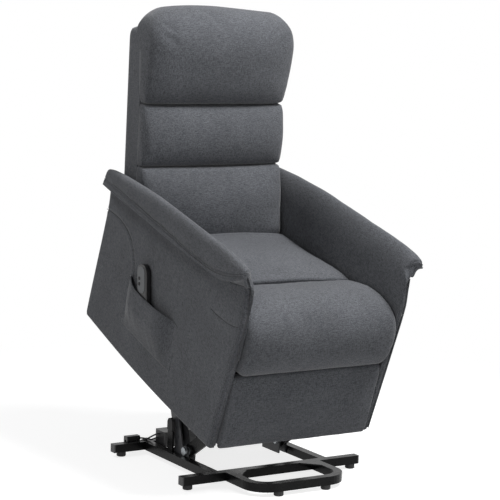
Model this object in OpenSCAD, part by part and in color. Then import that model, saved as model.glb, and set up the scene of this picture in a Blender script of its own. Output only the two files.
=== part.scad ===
// Lift recliner chair: a padded armchair on a steel base that tips forward to help its user stand.
// X runs to the occupant's left, Y from the front to the back and Z up, in millimetres.
// The chair is drawn raised. The origin lies on the floor, below the middle of its outline.

/* [Base frame] */
// Length of both crossbars over their end caps
crossbar_length = 600; // [580:5:640]
// Outside size of the square base tube
base_tube = 25; // [23:0.5:26]
// Wall of the square base tube
base_tube_wall = 2; // [1.5:0.5:3]
// From the front crossbar's front face to the rear crossbar's front face
crossbar_pitch = 412; // [408:1:430]
// Width over the two side rails
rail_span = 395; // [393:1:400]
// Height of a floor glide
glide_height = 13.5; // [11:0.5:15]
// Diameter of a floor glide
glide_d = 28; // [24:1:32]
// How far the stabiliser reaches in front of the front crossbar
stabiliser_reach = 166; // [150:2:180]
// Width over the stabiliser
stabiliser_width = 320; // [290:2:330]
// Outside bend radius of the stabiliser
stabiliser_bend = 72; // [60:2:90]
// Side of the triangular gusset in each stabiliser corner
gusset_side = 45; // [30:1:60]

/* [Lift towers] */
// Lower link pivot behind the front crossbar's front face
lower_pivot_y = 212; // [210:1:214]
// Lower link pivot above the floor
lower_pivot_z = 52; // [51:0.5:54]
// Upper link pivot behind the front crossbar's front face
upper_pivot_y = 298; // [296:1:300]
// Upper link pivot above the floor
upper_pivot_z = 206; // [204:1:208]
// Half width of a tower cheek
tower_half_width = 21; // [20:0.5:24]
// Thickness of the tower's steel
tower_steel = 4.5; // [3.5:0.5:5]
// Half width of a lower link
lower_link_half = 20; // [16:1:21]
// Half width of an upper link
upper_link_half = 15; // [12:1:16]
// Thickness of the lift links
lift_link_steel = 6; // [5:0.5:7]
// Diameter of the cross tubes of the lift and the chair
cross_tube_d = 25; // [20:1:28]
// Height of a rest stop's rubber top
rest_stop_height = 138; // [134:1:139]

/* [Raised chair] */
// How far the raised chair is tipped forward, in degrees
raised_tilt = 18.35; // [18:0.05:18.7]
// Chair's lower front corner behind the front crossbar's front face
chair_corner_y = -79.8; // [-81:0.1:-78]
// Chair's lower front corner above the floor
chair_corner_z = 137.6; // [136:0.1:139]

/* [Actuator] */
// Rear pivot behind the front crossbar's front face
actuator_pivot_y = 430; // [429:0.5:432]
// Rear pivot above the floor
actuator_pivot_z = 62; // [60:0.5:66]
// Diameter of the actuator's outer tube
actuator_tube_d = 34; // [32:1:38]
// Diameter of the actuator's rod
actuator_rod_d = 20; // [16:1:22]
// Diameter of the motor
motor_d = 44; // [38:1:50]
// Length of the motor beside the gearbox
motor_length = 100; // [80:2:110]

/* [Chair body] */
// Clear width between the side panels
panel_gap = 494; // [492:1:500]
// Thickness of a side panel
panel_thickness = 25; // [22:1:28]
// Width over the two steel side plates
side_plate_span = 390; // [388:1:392]
// Thickness of a side plate
side_plate_steel = 4; // [3:0.5:5]
// Height of the wooden seat frame
seat_frame_height = 25; // [20:1:26]
// Underside of the seat frame above the panels' lower edge
seat_frame_z = 262; // [260:1:264]
// How far an arm pad overhangs its side panel
arm_overhang = 37; // [30:1:38]
// Thickness of the rear skirt
skirt_thickness = 25; // [18:1:26]

/* [Back] */
// How far the upright back leans away from the seat, in degrees
back_lean = 16; // [15.5:0.1:16.5]
// Gap between the back and each side panel
back_side_gap = 7; // [5:0.5:12]
// Depth of the back's shell behind the cushions
back_shell_depth = 90; // [70:2:92]
// Thickness of the padded shell's walls
back_shell_wall = 12; // [8:1:13]
// Height of the lumbar cushion's upper seam
lumbar_seam = 208; // [200:1:216]
// Height of the middle cushion's upper seam
middle_seam = 391; // [384:1:398]
// Height of the shell's upper edge
shell_top = 612; // [600:1:620]
// Height of the headrest's crest
headrest_top = 668; // [655:1:680]

/* [Footrest] */
// Gap between the footrest and each side panel
footrest_side_gap = 7; // [4:0.5:12]
// Height of the footrest pad
footrest_height = 225; // [215:1:227]
// Thickness of the footrest board
footrest_board_thickness = 16; // [12:1:17]
// Thickness of a footrest link
footrest_link_steel = 4; // [3:0.5:4.5]
// Half width of the footrest links
footrest_link_half = 8; // [7:0.25:8.5]

/* [Handset] */
// Length of the handset
handset_length = 150; // [130:2:156]
// Width of the handset
handset_width = 55; // [48:1:58]
// Thickness of the handset
handset_thickness = 18; // [14:1:20]
// Travel of a handset button
button_travel = 1; // [0.6:0.1:1.5]

/* [Hidden] */
$fn = 48;

// Which side a paired piece is on: the occupant's right is at negative X
RIGHT = -1;
LEFT = 1;

// Radial clearance of a pin that turns in its hole
running_fit = 0.05;
// Gap between faces that slide past each other
side_gap = 0.2;
// Gap between a soft piece and its neighbour on another body
soft_gap = 0.3;
// Distance from the front crossbar's front face to the middle of the whole outline
outline_middle_y = 198.3;

// Base frame
tube_z = glide_height;
tube_top = glide_height + base_tube;
rear_crossbar_y = crossbar_pitch;
rail_outer = rail_span / 2;
rail_inner = rail_outer - base_tube;
cap_thickness = 4;
cap_plug = 12;
glide_stem_r = 4;
glide_stem = 8;
front_glide_inset = 23;
rear_glide_inset = 29.5;
stabiliser_glide_x = 79;
gusset_steel = 4;

// Planes of the lift, as distances from the chair's middle
cheek_out = [rail_inner - tower_steel, rail_inner];
link_spacer_out = 8;
link_spacer_in = 4.5;
lift_plane = [cheek_out[0] - link_spacer_out - lift_link_steel, cheek_out[0] - link_spacer_out];
cheek_in = [lift_plane[0] - link_spacer_in - tower_steel, lift_plane[0] - link_spacer_in];
pivot_bolt_r = 6;
pivot_spacer_r = 11;
pivot_head_r = 12;
pivot_head = 6.5;
pivot_nut_r = 10;
plate_outer = side_plate_span / 2;
plate_inner = plate_outer - side_plate_steel;

// Pivots on the base, as distances behind the front crossbar's face and above the floor
lower_pivot = [lower_pivot_y, lower_pivot_z];
upper_pivot = [upper_pivot_y, upper_pivot_z];
actuator_pivot = [actuator_pivot_y, actuator_pivot_z];
tower_foot = [240, tube_z + 22.5];
tower_foot_plate = [200, 292];
rest_stop_y = 283;
rest_stop_half = 15;
rest_stop_steel = 5;
rest_stop_x = rail_inner + 6.5;
rest_stop_rubber = 4;
rest_stop_rubber_side = 2;
rest_stop_cap = 23;

// Pivots on the chair, in the chair's own frame: back from its lower front corner, and up
chair_lower_pin = [80, 34.6];
chair_upper_hole = [128.6, 114];
chair_upper_pin = [126, 115];
chair_upper_clearance = 3.6;
actuator_head = [180, 228];
// Travel of the lift, and how far the chair tilts for each degree of it
lift_travel = 25.75;
tilt_ratio = 1.6938;
rest_gap = 0.4;
actuator_head_drop = 8;
actuator_head_clearance = 0.9;
back_pivot = [610, 285];
front_tube_at = [230, seat_frame_z - cross_tube_d / 2 - 0.5];
rear_tube_at = [560, seat_frame_z - cross_tube_d / 2 - 0.5];
torque_tube_along = 110;
upper_tube_along = 230;
chair_corner = [chair_corner_y, chair_corner_z];

// Footrest linkage, in the chair's own frame
drive_pivot = [139.7, 178.7];
drive_elbow = [139.7, 22];
swing_pivot = [190.7, 209.4];
swing_elbow = [176.2, 33.4];
swing_hole_offset = [0.7, 0.2];
swing_clearance = 1.8;
board_pin = [35, 185];
guide_offset = [0, 28];
guide_clearance = 0.4;
footrest_gap = 2;
footrest_pin_r = 4;
drive_stub_r = 8;
elbow_half = 10;

// Actuator, along its own axis from the rear pivot
actuator_eye_r = 12;
actuator_eye_half = 10;
gearbox = [16, 82];
gearbox_half = [28, 29];
actuator_tube_end = 392;
actuator_tube_wall = 3.5;
actuator_bush = 14;
actuator_rod_start = 325;
rod_pin_r = 5;
rod_eye_half = 9;
clevis_steel = 5;
clevis_gap = 1;
clevis_foot = 4.5;
drive_ear_steel = 5;
motor_along = 46;

// Chair body
seat_frame_top = seat_frame_z + seat_frame_height;
seat_frame_y = [55, 585];
seat_rail = 30;
panel_inner = panel_gap / 2;
panel_outer = panel_inner + panel_thickness;
plate_edge_z = 230;
stop_leg = [403, 433];
stop_tab_steel = 5;
stop_tab_gap = 1;
seat_rear_y = 582;
seat_seam_y = 200;
seat_side_gap = 4;
seat_half = panel_gap / 2 - seat_side_gap;
skirt_y = 765;
skirt_z = [10, 235];

// Back, in its own frame: Y back from the cushions' front and Z up along the back
back_origin = [578, 360];
back_half = panel_gap / 2 - back_side_gap;
back_width = 2 * back_half;
cushion_rear = 75;
shell_bottom = -60;
back_tube = 25;
back_frame_bottom = -45;
back_hinge_steel = 4;
back_hinge_gap = 4;

// Footrest panel
footrest_width = panel_gap - 2 * footrest_side_gap;
pad_z = 3;
pad_rear = -4;
board_front = pad_rear;
board_rear = board_front + footrest_board_thickness;

// Handset and its pocket
handset_lean = 20.9;
handset_foot = [434, 188];
handset_clear = 0.3;
handset_inner = panel_outer + 5;
button_proud = 2;
pocket_wall = 3;

steel_black = "#1d1e20";
steel_grey = "#77797c";
zinc = "#a9abad";
plastic_black = "#151517";
rubber_black = "#202021";
plastic_grey = "#8b8e92";
wood_pale = "#b49468";
fabric = "#4f5256";

// ---- Helpers ----

function turn(p, a) = [p.x * cos(a) - p.y * sin(a), p.x * sin(a) + p.y * cos(a)];
// Place of a chair point in the base's frame while the chair is raised
function raised(p) = chair_corner + turn(p, raised_tilt);
function arc_points(centre, radius, from, to, steps) =
    [for (i = [0:steps])
        let (a = from + (to - from) * i / steps)
        centre + radius * [cos(a), sin(a)]];
// Outline of a flat bar with round ends
function bar_outline(p, q, r, r_end) =
    let (a = atan2(q.y - p.y, q.x - p.x))
    concat(arc_points(q, r_end, a - 90, a + 90, 10), arc_points(p, r, a + 90, a + 270, 10));
function along(p, q, distance) = p + (q - p) / norm(q - p) * distance;
function reversed(list) = [for (i = [len(list) - 1:-1:0]) list[i]];
function signed_power(v, e) = sign(v) * pow(abs(v), e);

// Moves a piece from the base's frame to the part's own frame
module in_base() {
    translate([0, -outline_middle_y, 0])
        children();
}

// Moves a piece from the chair's frame, with the chair raised, to the part's own frame
module in_chair() {
    in_base()
        translate([0, chair_corner.x, chair_corner.y])
            rotate([raised_tilt, 0, 0])
                children();
}

module in_back() {
    in_chair()
        translate([0, back_origin.x, back_origin.y])
            rotate([-back_lean, 0, 0])
                children();
}

module in_handset() {
    in_chair()
        translate([-handset_inner, handset_foot.x, handset_foot.y])
            rotate([-handset_lean, 0, 0])
                children();
}

module on_side(side) {
    mirror([side < 0 ? 1 : 0, 0, 0])
        children();
}

module on_both_sides() {
    children();
    mirror([1, 0, 0])
        children();
}

// Extrudes an outline of the side view between two distances from the middle
module across(span) {
    translate([span[0], 0, 0])
        rotate([90, 0, 90])
            linear_extrude(span[1] - span[0])
                children();
}

// Round bar across the chair at a point of the side view
module cross_rod(p, r, span) {
    translate([span[0], p.x, p.y])
        rotate([0, 90, 0])
            cylinder(r = r, h = span[1] - span[0]);
}

module cross_tube(p, span) {
    difference() {
        cross_rod(p, cross_tube_d / 2, span);
        cross_rod(p, cross_tube_d / 2 - 2, [span[0] - 1, span[1] + 1]);
    }
}

module bar(p, q, r, span, r_end = undef) {
    across(span)
        polygon(bar_outline(p, q, r, is_undef(r_end) ? r : r_end));
}

// Closed solid through rings of equally many points, each ring right-handed about the way they go
module lofted(rings) {
    n = len(rings[0]);
    last = len(rings) - 1;
    ends = [for (ring = [rings[0], rings[last]]) [for (k = [0:2]) sum_of(ring, k) / n]];
    polyhedron(
        points = concat([for (ring = rings) each ring], ends),
        faces = concat(
            [for (i = [0:last - 1], j = [0:n - 1])
                [i * n + j, (i + 1) * n + j, i * n + (j + 1) % n]],
            [for (i = [0:last - 1], j = [0:n - 1])
                [(i + 1) * n + j, (i + 1) * n + (j + 1) % n, i * n + (j + 1) % n]],
            [for (j = [0:n - 1]) [(last + 1) * n, j, (j + 1) % n]],
            [for (j = [0:n - 1]) [(last + 1) * n + 1, last * n + (j + 1) % n, last * n + j]]
        ),
        convexity = 6
    );
}

function sum_of(points, k, i = 0) = i == len(points) ? 0 : points[i][k] + sum_of(points, k, i + 1);

// Ring of a cushion in the XY plane: nearly square, with a crown towards negative Y
ring_points = 28;
ring_squareness = 0.42;
function cushion_ring(half, front, rear, z, crown) =
    [for (i = [0:ring_points - 1])
        let (a = 360 * i / ring_points)
        let (x = half * signed_power(cos(a), ring_squareness))
        let (side = signed_power(sin(a), ring_squareness))
        let (swell = crown * max(0, -side) * (1 - pow(x / half, 2)))
        [x, (front + rear) / 2 + (rear - front) / 2 * side - swell, z]];

// ---- Base frame ----

module glide_hole(x, y) {
    translate([x, y, tube_z - 1])
        cylinder(r = glide_stem_r + running_fit, h = base_tube_wall + 2);
}

module crossbar(y, glide_inset) {
    half = crossbar_length / 2 - cap_thickness;
    bore = base_tube - 2 * base_tube_wall;
    color(steel_black)
        in_base()
            difference() {
                translate([-half, y, tube_z])
                    cube([2 * half, base_tube, base_tube]);
                translate([-half - 1, y + base_tube_wall, tube_z + base_tube_wall])
                    cube([2 * half + 2, bore, bore]);
                for (side = [LEFT, RIGHT])
                    glide_hole(side * (crossbar_length / 2 - glide_inset), y + base_tube / 2);
            }
}

module front_crossbar() {
    crossbar(0, front_glide_inset);
}

module rear_crossbar() {
    crossbar(rear_crossbar_y, rear_glide_inset);
}

module side_rail(side) {
    length = rear_crossbar_y - base_tube;
    bore = base_tube - 2 * base_tube_wall;
    color(steel_black)
        in_base()
            on_side(side)
                difference() {
                    translate([rail_inner, base_tube, tube_z])
                        cube([base_tube, length, base_tube]);
                    translate([rail_inner + base_tube_wall, base_tube - 1, tube_z + base_tube_wall])
                        cube([bore, length + 2, bore]);
                }
}

function stabiliser_path(inset, end_y) =
    let (half = stabiliser_width / 2 - inset)
    let (front = stabiliser_reach - inset)
    let (bend = stabiliser_bend - inset)
    concat(
        [[half, end_y]],
        arc_points([half - bend, bend - front], bend, 0, -90, 10),
        arc_points([bend - half, bend - front], bend, -90, -180, 10),
        [[-half, end_y]]
    );

module stabiliser_band(outer_inset, inner_inset, end_y) {
    polygon(concat(
        stabiliser_path(outer_inset, end_y),
        reversed(stabiliser_path(inner_inset, end_y))
    ));
}

module front_stabiliser() {
    inner = stabiliser_width / 2 - base_tube;
    color(steel_black)
        in_base() {
            difference() {
                translate([0, 0, tube_z])
                    linear_extrude(base_tube)
                        stabiliser_band(0, base_tube, 0);
                translate([0, 0, tube_z + base_tube_wall])
                    linear_extrude(base_tube - 2 * base_tube_wall)
                        stabiliser_band(base_tube_wall, base_tube - base_tube_wall, 1);
                for (side = [LEFT, RIGHT])
                    glide_hole(side * stabiliser_glide_x, base_tube / 2 - stabiliser_reach);
            }
            on_both_sides()
                translate([0, 0, tube_top - gusset_steel])
                    linear_extrude(gusset_steel)
                        polygon([[inner, 0], [inner - gusset_side, 0], [inner, -gusset_side]]);
        }
}

module tube_end_caps() {
    plug = base_tube - 2 * base_tube_wall - 0.2;
    color(plastic_black)
        in_base()
            for (y = [0, rear_crossbar_y])
                on_both_sides() {
                    translate([crossbar_length / 2 - cap_thickness, y, tube_z])
                        cube([cap_thickness, base_tube, base_tube]);
                    translate([
                        crossbar_length / 2 - cap_thickness - cap_plug,
                        y + (base_tube - plug) / 2,
                        tube_z + (base_tube - plug) / 2
                    ])
                        cube([cap_plug, plug, plug]);
                }
}

module floor_glide(x, y) {
    foot_chamfer = 2;
    translate([x, y, 0]) {
        cylinder(r1 = glide_d / 2 - foot_chamfer, r2 = glide_d / 2, h = foot_chamfer);
        translate([0, 0, foot_chamfer])
            cylinder(r = glide_d / 2, h = glide_height - foot_chamfer);
        translate([0, 0, glide_height])
            cylinder(r = glide_stem_r, h = glide_stem);
    }
}

module floor_glides() {
    color(rubber_black)
        in_base()
            for (side = [LEFT, RIGHT]) {
                floor_glide(side * (crossbar_length / 2 - front_glide_inset), base_tube / 2);
                floor_glide(
                    side * (crossbar_length / 2 - rear_glide_inset),
                    rear_crossbar_y + base_tube / 2
                );
                floor_glide(side * stabiliser_glide_x, base_tube / 2 - stabiliser_reach);
            }
}

// ---- Lift towers ----

// Cheek of a lift tower: a foot on the rail, an ear round the lower pivot and a leaning arm
module tower_outline() {
    lean = upper_pivot - tower_foot;
    lean_angle = atan2(lean.y, lean.x);
    rearward = [lean.y, -lean.x] / norm(lean) * tower_half_width;
    ear_r = 16;
    weld_edge = 1.5;
    polygon(concat(
        [[tower_foot_plate[0], tube_z + weld_edge], [tower_foot_plate[1], tube_z + weld_edge]],
        [[tower_foot_plate[1], tube_top - weld_edge], tower_foot + lean * 0.16 + rearward],
        arc_points(upper_pivot, tower_half_width, lean_angle - 90, lean_angle + 90, 12),
        [tower_foot + lean * 0.12 - rearward],
        arc_points(lower_pivot, ear_r, 40, 190, 10)
    ));
}

module lift_tower(side) {
    lean = upper_pivot - tower_foot;
    rearward = [lean.y, -lean.x] / norm(lean);
    web_low = tower_foot + lean * 0.22;
    web_high = tower_foot + lean * 0.94;
    web_edge = 0.5;
    web_in = rearward * (tower_half_width - tower_steel);
    web_out = rearward * (tower_half_width - web_edge);
    rivet_r = 4;
    rivet_head = 1.5;
    color(steel_grey)
        in_base()
            on_side(side)
                difference() {
                    union() {
                        across(cheek_out)
                            tower_outline();
                        across(cheek_in)
                            tower_outline();
                        across([cheek_in[1] - 1, cheek_out[0] + 1])
                            polygon([
                                web_low + web_in, web_high + web_in,
                                web_high + web_out, web_low + web_out
                            ]);
                        for (share = [0.3, 0.44])
                            cross_rod(
                                tower_foot + lean * share, rivet_r,
                                [rail_inner - 1, rail_inner + rivet_head]
                            );
                    }
                    for (p = [lower_pivot, upper_pivot])
                        cross_rod(p, pivot_bolt_r + running_fit, [cheek_in[0] - 1, rail_inner + 2]);
                }
}

module pivot_bolt(p) {
    cross_rod(p, pivot_bolt_r, [cheek_in[0] - pivot_head, cheek_out[1] + pivot_head]);
    cross_rod(p, pivot_head_r, [cheek_out[1] + 0.1, cheek_out[1] + pivot_head]);
    cross_rod(p, pivot_spacer_r, [lift_plane[1] + side_gap, cheek_out[0] - 0.1]);
    cross_rod(p, pivot_spacer_r, [cheek_in[1] + 0.1, lift_plane[0] - side_gap]);
    cross_rod(p, pivot_nut_r, [cheek_in[0] - pivot_head, cheek_in[0] - 0.1], $fn = 6);
}

module tower_pivot_bolts() {
    color(zinc)
        in_base()
            on_both_sides()
                for (p = [lower_pivot, upper_pivot])
                    pivot_bolt(p);
}

function rest_stop_core(grow) =
    let (half = rest_stop_half - rest_stop_rubber + grow)
    let (crown = [rest_stop_y, rest_stop_height - rest_stop_half])
    let (shoulder = rest_stop_height - rest_stop_half - rest_stop_cap)
    concat(
        [[rest_stop_y - rest_stop_half, tube_top], [rest_stop_y + rest_stop_half, tube_top]],
        [[rest_stop_y + rest_stop_half, shoulder - 2], [rest_stop_y + half, shoulder]],
        arc_points(crown, half, 0, 180, 12),
        [[rest_stop_y - half, shoulder], [rest_stop_y - rest_stop_half, shoulder - 2]]
    );

module rest_stop_brackets() {
    color(steel_black)
        in_base()
            on_both_sides()
                across([rest_stop_x, rest_stop_x + rest_stop_steel])
                    polygon(rest_stop_core(0));
}

module rest_stop_pads() {
    crown = [rest_stop_y, rest_stop_height - rest_stop_half];
    bottom = crown.y - rest_stop_cap + 1;
    color(rubber_black)
        in_base()
            on_both_sides()
                difference() {
                    across([
                        rest_stop_x - rest_stop_rubber_side,
                        rest_stop_x + rest_stop_steel + rest_stop_rubber_side
                    ])
                        polygon(concat(
                            arc_points(crown, rest_stop_half, 0, 180, 12),
                            [[rest_stop_y - rest_stop_half, bottom]],
                            [[rest_stop_y + rest_stop_half, bottom]]
                        ));
                    across([rest_stop_x - 0.1, rest_stop_x + rest_stop_steel + 0.1])
                        polygon(rest_stop_core(0.1));
                }
}

module actuator_base_clevis() {
    ear = actuator_eye_half + clevis_gap;
    foot_half = 30;
    color(steel_black)
        in_base()
            difference() {
                union() {
                    translate([-foot_half, rear_crossbar_y, tube_top])
                        cube([2 * foot_half, base_tube, clevis_foot]);
                    on_both_sides()
                        across([ear, ear + clevis_steel])
                            polygon(concat(
                                arc_points(actuator_pivot, actuator_eye_r, 0, 180, 12),
                                [[actuator_pivot.x - actuator_eye_r, tube_top]],
                                [[min(actuator_pivot.x + actuator_eye_r,
                                      rear_crossbar_y + base_tube), tube_top]]
                            ));
                }
                cross_rod(
                    actuator_pivot, pivot_bolt_r + running_fit,
                    [-ear - clevis_steel - 1, ear + clevis_steel + 1]
                );
            }
}

module actuator_base_pin() {
    reach = actuator_eye_half + clevis_gap + clevis_steel;
    head = 3;
    color(zinc)
        in_base() {
            cross_rod(actuator_pivot, pivot_bolt_r, [-reach - head, reach + head]);
            on_both_sides()
                cross_rod(actuator_pivot, pivot_bolt_r + 3, [reach + 0.1, reach + head]);
        }
}

// ---- Control box and leads ----

control_box_size = [110, 60, 46];
control_box_at = [-165, rear_crossbar_y - 63, 31];
control_bracket_steel = 3;
inlet_size = [44, 23, 32];
inlet_inset = 56;
inlet_at = [inlet_inset - crossbar_length / 2, rear_crossbar_y + base_tube, 20];
lead_r = 2.5;
// Routes of the two leads from the control box, over the rear crossbar, to the power inlet
lead_routes = [
    [[-165, 385, 66], [-171, 385, 66], [-178, 390, 62], [-184, 406, 52],
     [-184, 424, 43.5], [-187, 440, 42], [-193, 446, 42], [-200, 446, 42]],
    [[-165, 392, 52], [-171, 392, 52], [-176, 399, 48], [-177.5, 412, 43],
     [-177.5, 428, 42.5], [-179, 442, 40], [-185, 450, 34], [-193, 452, 31], [-200, 452, 31]]
];

function rounded_rectangle(size, r) = concat(
    arc_points([size.x - r, r], r, -90, 0, 5),
    arc_points([size.x - r, size.y - r], r, 0, 90, 5),
    arc_points([r, size.y - r], r, 90, 180, 5),
    arc_points([r, r], r, 180, 270, 5)
);

module control_box() {
    seam = 1.2;
    lid = 18;
    corner = 6;
    color(plastic_black)
        in_base()
            translate(control_box_at) {
                linear_extrude(control_box_size.z - lid)
                    polygon(rounded_rectangle(control_box_size, corner));
                translate([seam, seam, control_box_size.z - lid])
                    linear_extrude(seam)
                        polygon(rounded_rectangle(
                            [control_box_size.x - 2 * seam, control_box_size.y - 2 * seam],
                            corner - seam
                        ));
                translate([0, 0, control_box_size.z - lid + seam])
                    linear_extrude(lid - seam)
                        polygon(rounded_rectangle(control_box_size, corner));
            }
}

module control_box_bracket() {
    inset = 15;
    color(steel_black)
        in_base()
            translate([
                control_box_at.x + inset,
                rear_crossbar_y - control_bracket_steel,
                tube_z + 3
            ])
                cube([
                    control_box_size.x - 2 * inset,
                    control_bracket_steel,
                    control_box_size.z + 2
                ]);
}

module power_inlet() {
    socket_r = 5;
    socket_depth = 14;
    color(plastic_black)
        in_base()
            translate(inlet_at)
                difference() {
                    rotate([90, 0, 90])
                        linear_extrude(inlet_size.x)
                            polygon(rounded_rectangle([inlet_size.y, inlet_size.z], 4));
                    translate([-1, inlet_size.y / 2, inlet_size.z / 2])
                        rotate([0, 90, 0])
                            cylinder(r = socket_r, h = socket_depth + 1);
                }
}

lead_sides = 8;
function lead_ring(route, i) =
    let (back = route[max(i - 1, 0)])
    let (ahead = route[min(i + 1, len(route) - 1)])
    let (dir = (ahead - back) / norm(ahead - back))
    let (side = cross(dir, [0, 0, 1]) / norm(cross(dir, [0, 0, 1])))
    let (rise = cross(side, dir))
    [for (k = [0:lead_sides - 1])
        let (a = 360 * k / lead_sides)
        route[i] + lead_r * (cos(a) * side - sin(a) * rise)];

module supply_leads() {
    color(rubber_black)
        in_base()
            for (route = lead_routes)
                lofted([for (i = [0:len(route) - 1]) lead_ring(route, i)]);
}

// ---- Lift links ----

chair_lower_pin_raised = raised(chair_lower_pin);
chair_upper_pin_raised = raised(chair_upper_pin);

module lift_link(side, p, q, half) {
    on_side(side)
        difference() {
            bar(p, q, half, lift_plane);
            cross_rod(p, pivot_bolt_r + running_fit, [lift_plane[0] - 1, lift_plane[1] + 1]);
            cross_rod(q, pivot_bolt_r + running_fit, [lift_plane[0] - 1, lift_plane[1] + 1]);
        }
}

module lower_lift_link(side) {
    color(steel_black)
        in_base()
            lift_link(side, lower_pivot, chair_lower_pin_raised, lower_link_half);
}

module upper_lift_link(side) {
    color(steel_black)
        in_base() {
            lift_link(side, upper_pivot, chair_upper_pin_raised, upper_link_half);
            on_side(side) {
                cross_rod(chair_upper_pin_raised, pivot_bolt_r + 0.5, lift_plane);
                cross_rod(chair_upper_pin_raised, 5, [lift_plane[1], plate_outer]);
                cross_rod(chair_upper_pin_raised, 10, [lift_plane[1], plate_inner - 3]);
            }
        }
}

module lift_torque_tube() {
    color(steel_black)
        in_base()
            cross_tube(
                along(lower_pivot, chair_lower_pin_raised, torque_tube_along),
                [-lift_plane[0], lift_plane[0]]
            );
}

module upper_cross_tube() {
    color(steel_black)
        in_base()
            cross_tube(
                along(upper_pivot, chair_upper_pin_raised, upper_tube_along),
                [-lift_plane[0], lift_plane[0]]
            );
}

// ---- Actuator ----

actuator_head_raised = raised(actuator_head);
actuator_length = norm(actuator_head_raised - actuator_pivot);

// Turns a piece drawn along +Z from the rear pivot onto the actuator's axis
module on_actuator() {
    dir = actuator_head_raised - actuator_pivot;
    in_base()
        translate([0, actuator_pivot.x, actuator_pivot.y])
            rotate([atan2(-dir.x, dir.y), 0, 0])
                children();
}

module actuator_gearbox() {
    color(plastic_black)
        on_actuator()
            difference() {
                union() {
                    translate([-actuator_eye_half, -actuator_eye_r, 0])
                        cube([2 * actuator_eye_half, 2 * actuator_eye_r, gearbox[0] + 1]);
                    translate([-actuator_eye_half, 0, 0])
                        rotate([0, 90, 0])
                            cylinder(r = actuator_eye_r, h = 2 * actuator_eye_half);
                    translate([-gearbox_half.x, -gearbox_half.y, gearbox[0]])
                        linear_extrude(gearbox[1] - gearbox[0])
                            polygon(rounded_rectangle(2 * gearbox_half, 8));
                }
                translate([-actuator_eye_half - 1, 0, 0])
                    rotate([0, 90, 0])
                        cylinder(r = pivot_bolt_r + running_fit, h = 2 * actuator_eye_half + 2);
            }
}

module actuator_motor() {
    end_bell = 12;
    color(steel_grey)
        on_actuator()
            translate([gearbox_half.x, 0, motor_along])
                rotate([0, 90, 0]) {
                    cylinder(r = motor_d / 2, h = motor_length - end_bell);
                    cylinder(r = motor_d / 2 - 4, h = motor_length);
                }
}

module actuator_outer_tube() {
    tube_r = actuator_tube_d / 2;
    color(steel_grey)
        on_actuator()
            translate([0, 0, gearbox[1]])
                difference() {
                    cylinder(r = tube_r, h = actuator_tube_end - gearbox[1]);
                    translate([0, 0, 8])
                        cylinder(
                            r = tube_r - actuator_tube_wall,
                            h = actuator_tube_end - gearbox[1] - 8 - actuator_bush
                        );
                    cylinder(
                        r = actuator_rod_d / 2 + running_fit,
                        h = actuator_tube_end - gearbox[1] + 1
                    );
                }
}

module actuator_rod() {
    rod_end = actuator_length - actuator_eye_r + 2;
    pin_reach = rod_eye_half + clevis_gap + drive_ear_steel;
    color(zinc)
        on_actuator() {
            translate([0, 0, actuator_rod_start])
                cylinder(r = actuator_rod_d / 2, h = rod_end - actuator_rod_start);
            translate([-rod_eye_half, 0, actuator_length])
                rotate([0, 90, 0])
                    cylinder(r = actuator_eye_r, h = 2 * rod_eye_half);
            translate([-pin_reach, 0, actuator_length])
                rotate([0, 90, 0])
                    cylinder(r = rod_pin_r, h = 2 * pin_reach);
        }
}

// ---- Chair's steel and wood ----

// The lowered chair rests with its stop tabs on the rubber: their height in the chair's frame
lowered_pin = lower_pivot + turn(chair_lower_pin_raised - lower_pivot, lift_travel);
lowered_tilt = raised_tilt + lift_travel * (1 - tilt_ratio);
stop_tab_z = chair_lower_pin.y + (rest_stop_height + rest_gap - lowered_pin.y
    - (rest_stop_y - lowered_pin.x) * tan(lowered_tilt)) * cos(lowered_tilt);

module side_plate_outline() {
    ear_r = 18;
    hinge_r = 15;
    polygon(concat(
        arc_points(chair_lower_pin, ear_r, 190, 340, 8),
        [[160, 96], [222, 178], [300, plate_edge_z - 8]],
        [[stop_leg[0], plate_edge_z - 4], [stop_leg[0], stop_tab_z]],
        [[stop_leg[1], stop_tab_z], [stop_leg[1], plate_edge_z - 2]],
        [[back_pivot.x - hinge_r - 10, plate_edge_z + 2]],
        arc_points(back_pivot, hinge_r, -50, 130, 8),
        [[seat_frame_y[1] + 1, seat_frame_z], [seat_frame_y[0] + 3, seat_frame_z]]
    ));
}

module side_plate(side) {
    color(steel_black)
        in_chair()
            on_side(side)
                difference() {
                    union() {
                        across([plate_inner, plate_outer])
                            side_plate_outline();
                        across([rest_stop_x + stop_tab_gap, plate_inner])
                            polygon([
                                [stop_leg[0], stop_tab_z], [stop_leg[1], stop_tab_z],
                                [stop_leg[1], stop_tab_z + stop_tab_steel],
                                [stop_leg[0], stop_tab_z + stop_tab_steel]
                            ]);
                    }
                    cross_rod(
                        chair_lower_pin, pivot_bolt_r + running_fit,
                        [plate_inner - 1, plate_outer + 1]
                    );
                    cross_rod(
                        chair_upper_hole, 5 + chair_upper_clearance,
                        [plate_inner - 1, plate_outer + 1]
                    );
                    cross_rod(
                        drive_pivot, drive_stub_r + running_fit,
                        [plate_inner - 1, plate_outer + 1]
                    );
                    cross_rod(
                        back_pivot, pivot_bolt_r + running_fit,
                        [plate_inner - 1, plate_outer + 1]
                    );
                }
}

module front_cross_tube() {
    color(steel_black)
        in_chair()
            cross_tube(front_tube_at, [-plate_inner, plate_inner]);
}

module rear_cross_tube() {
    color(steel_black)
        in_chair()
            cross_tube(rear_tube_at, [-plate_inner, plate_inner]);
}

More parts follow.
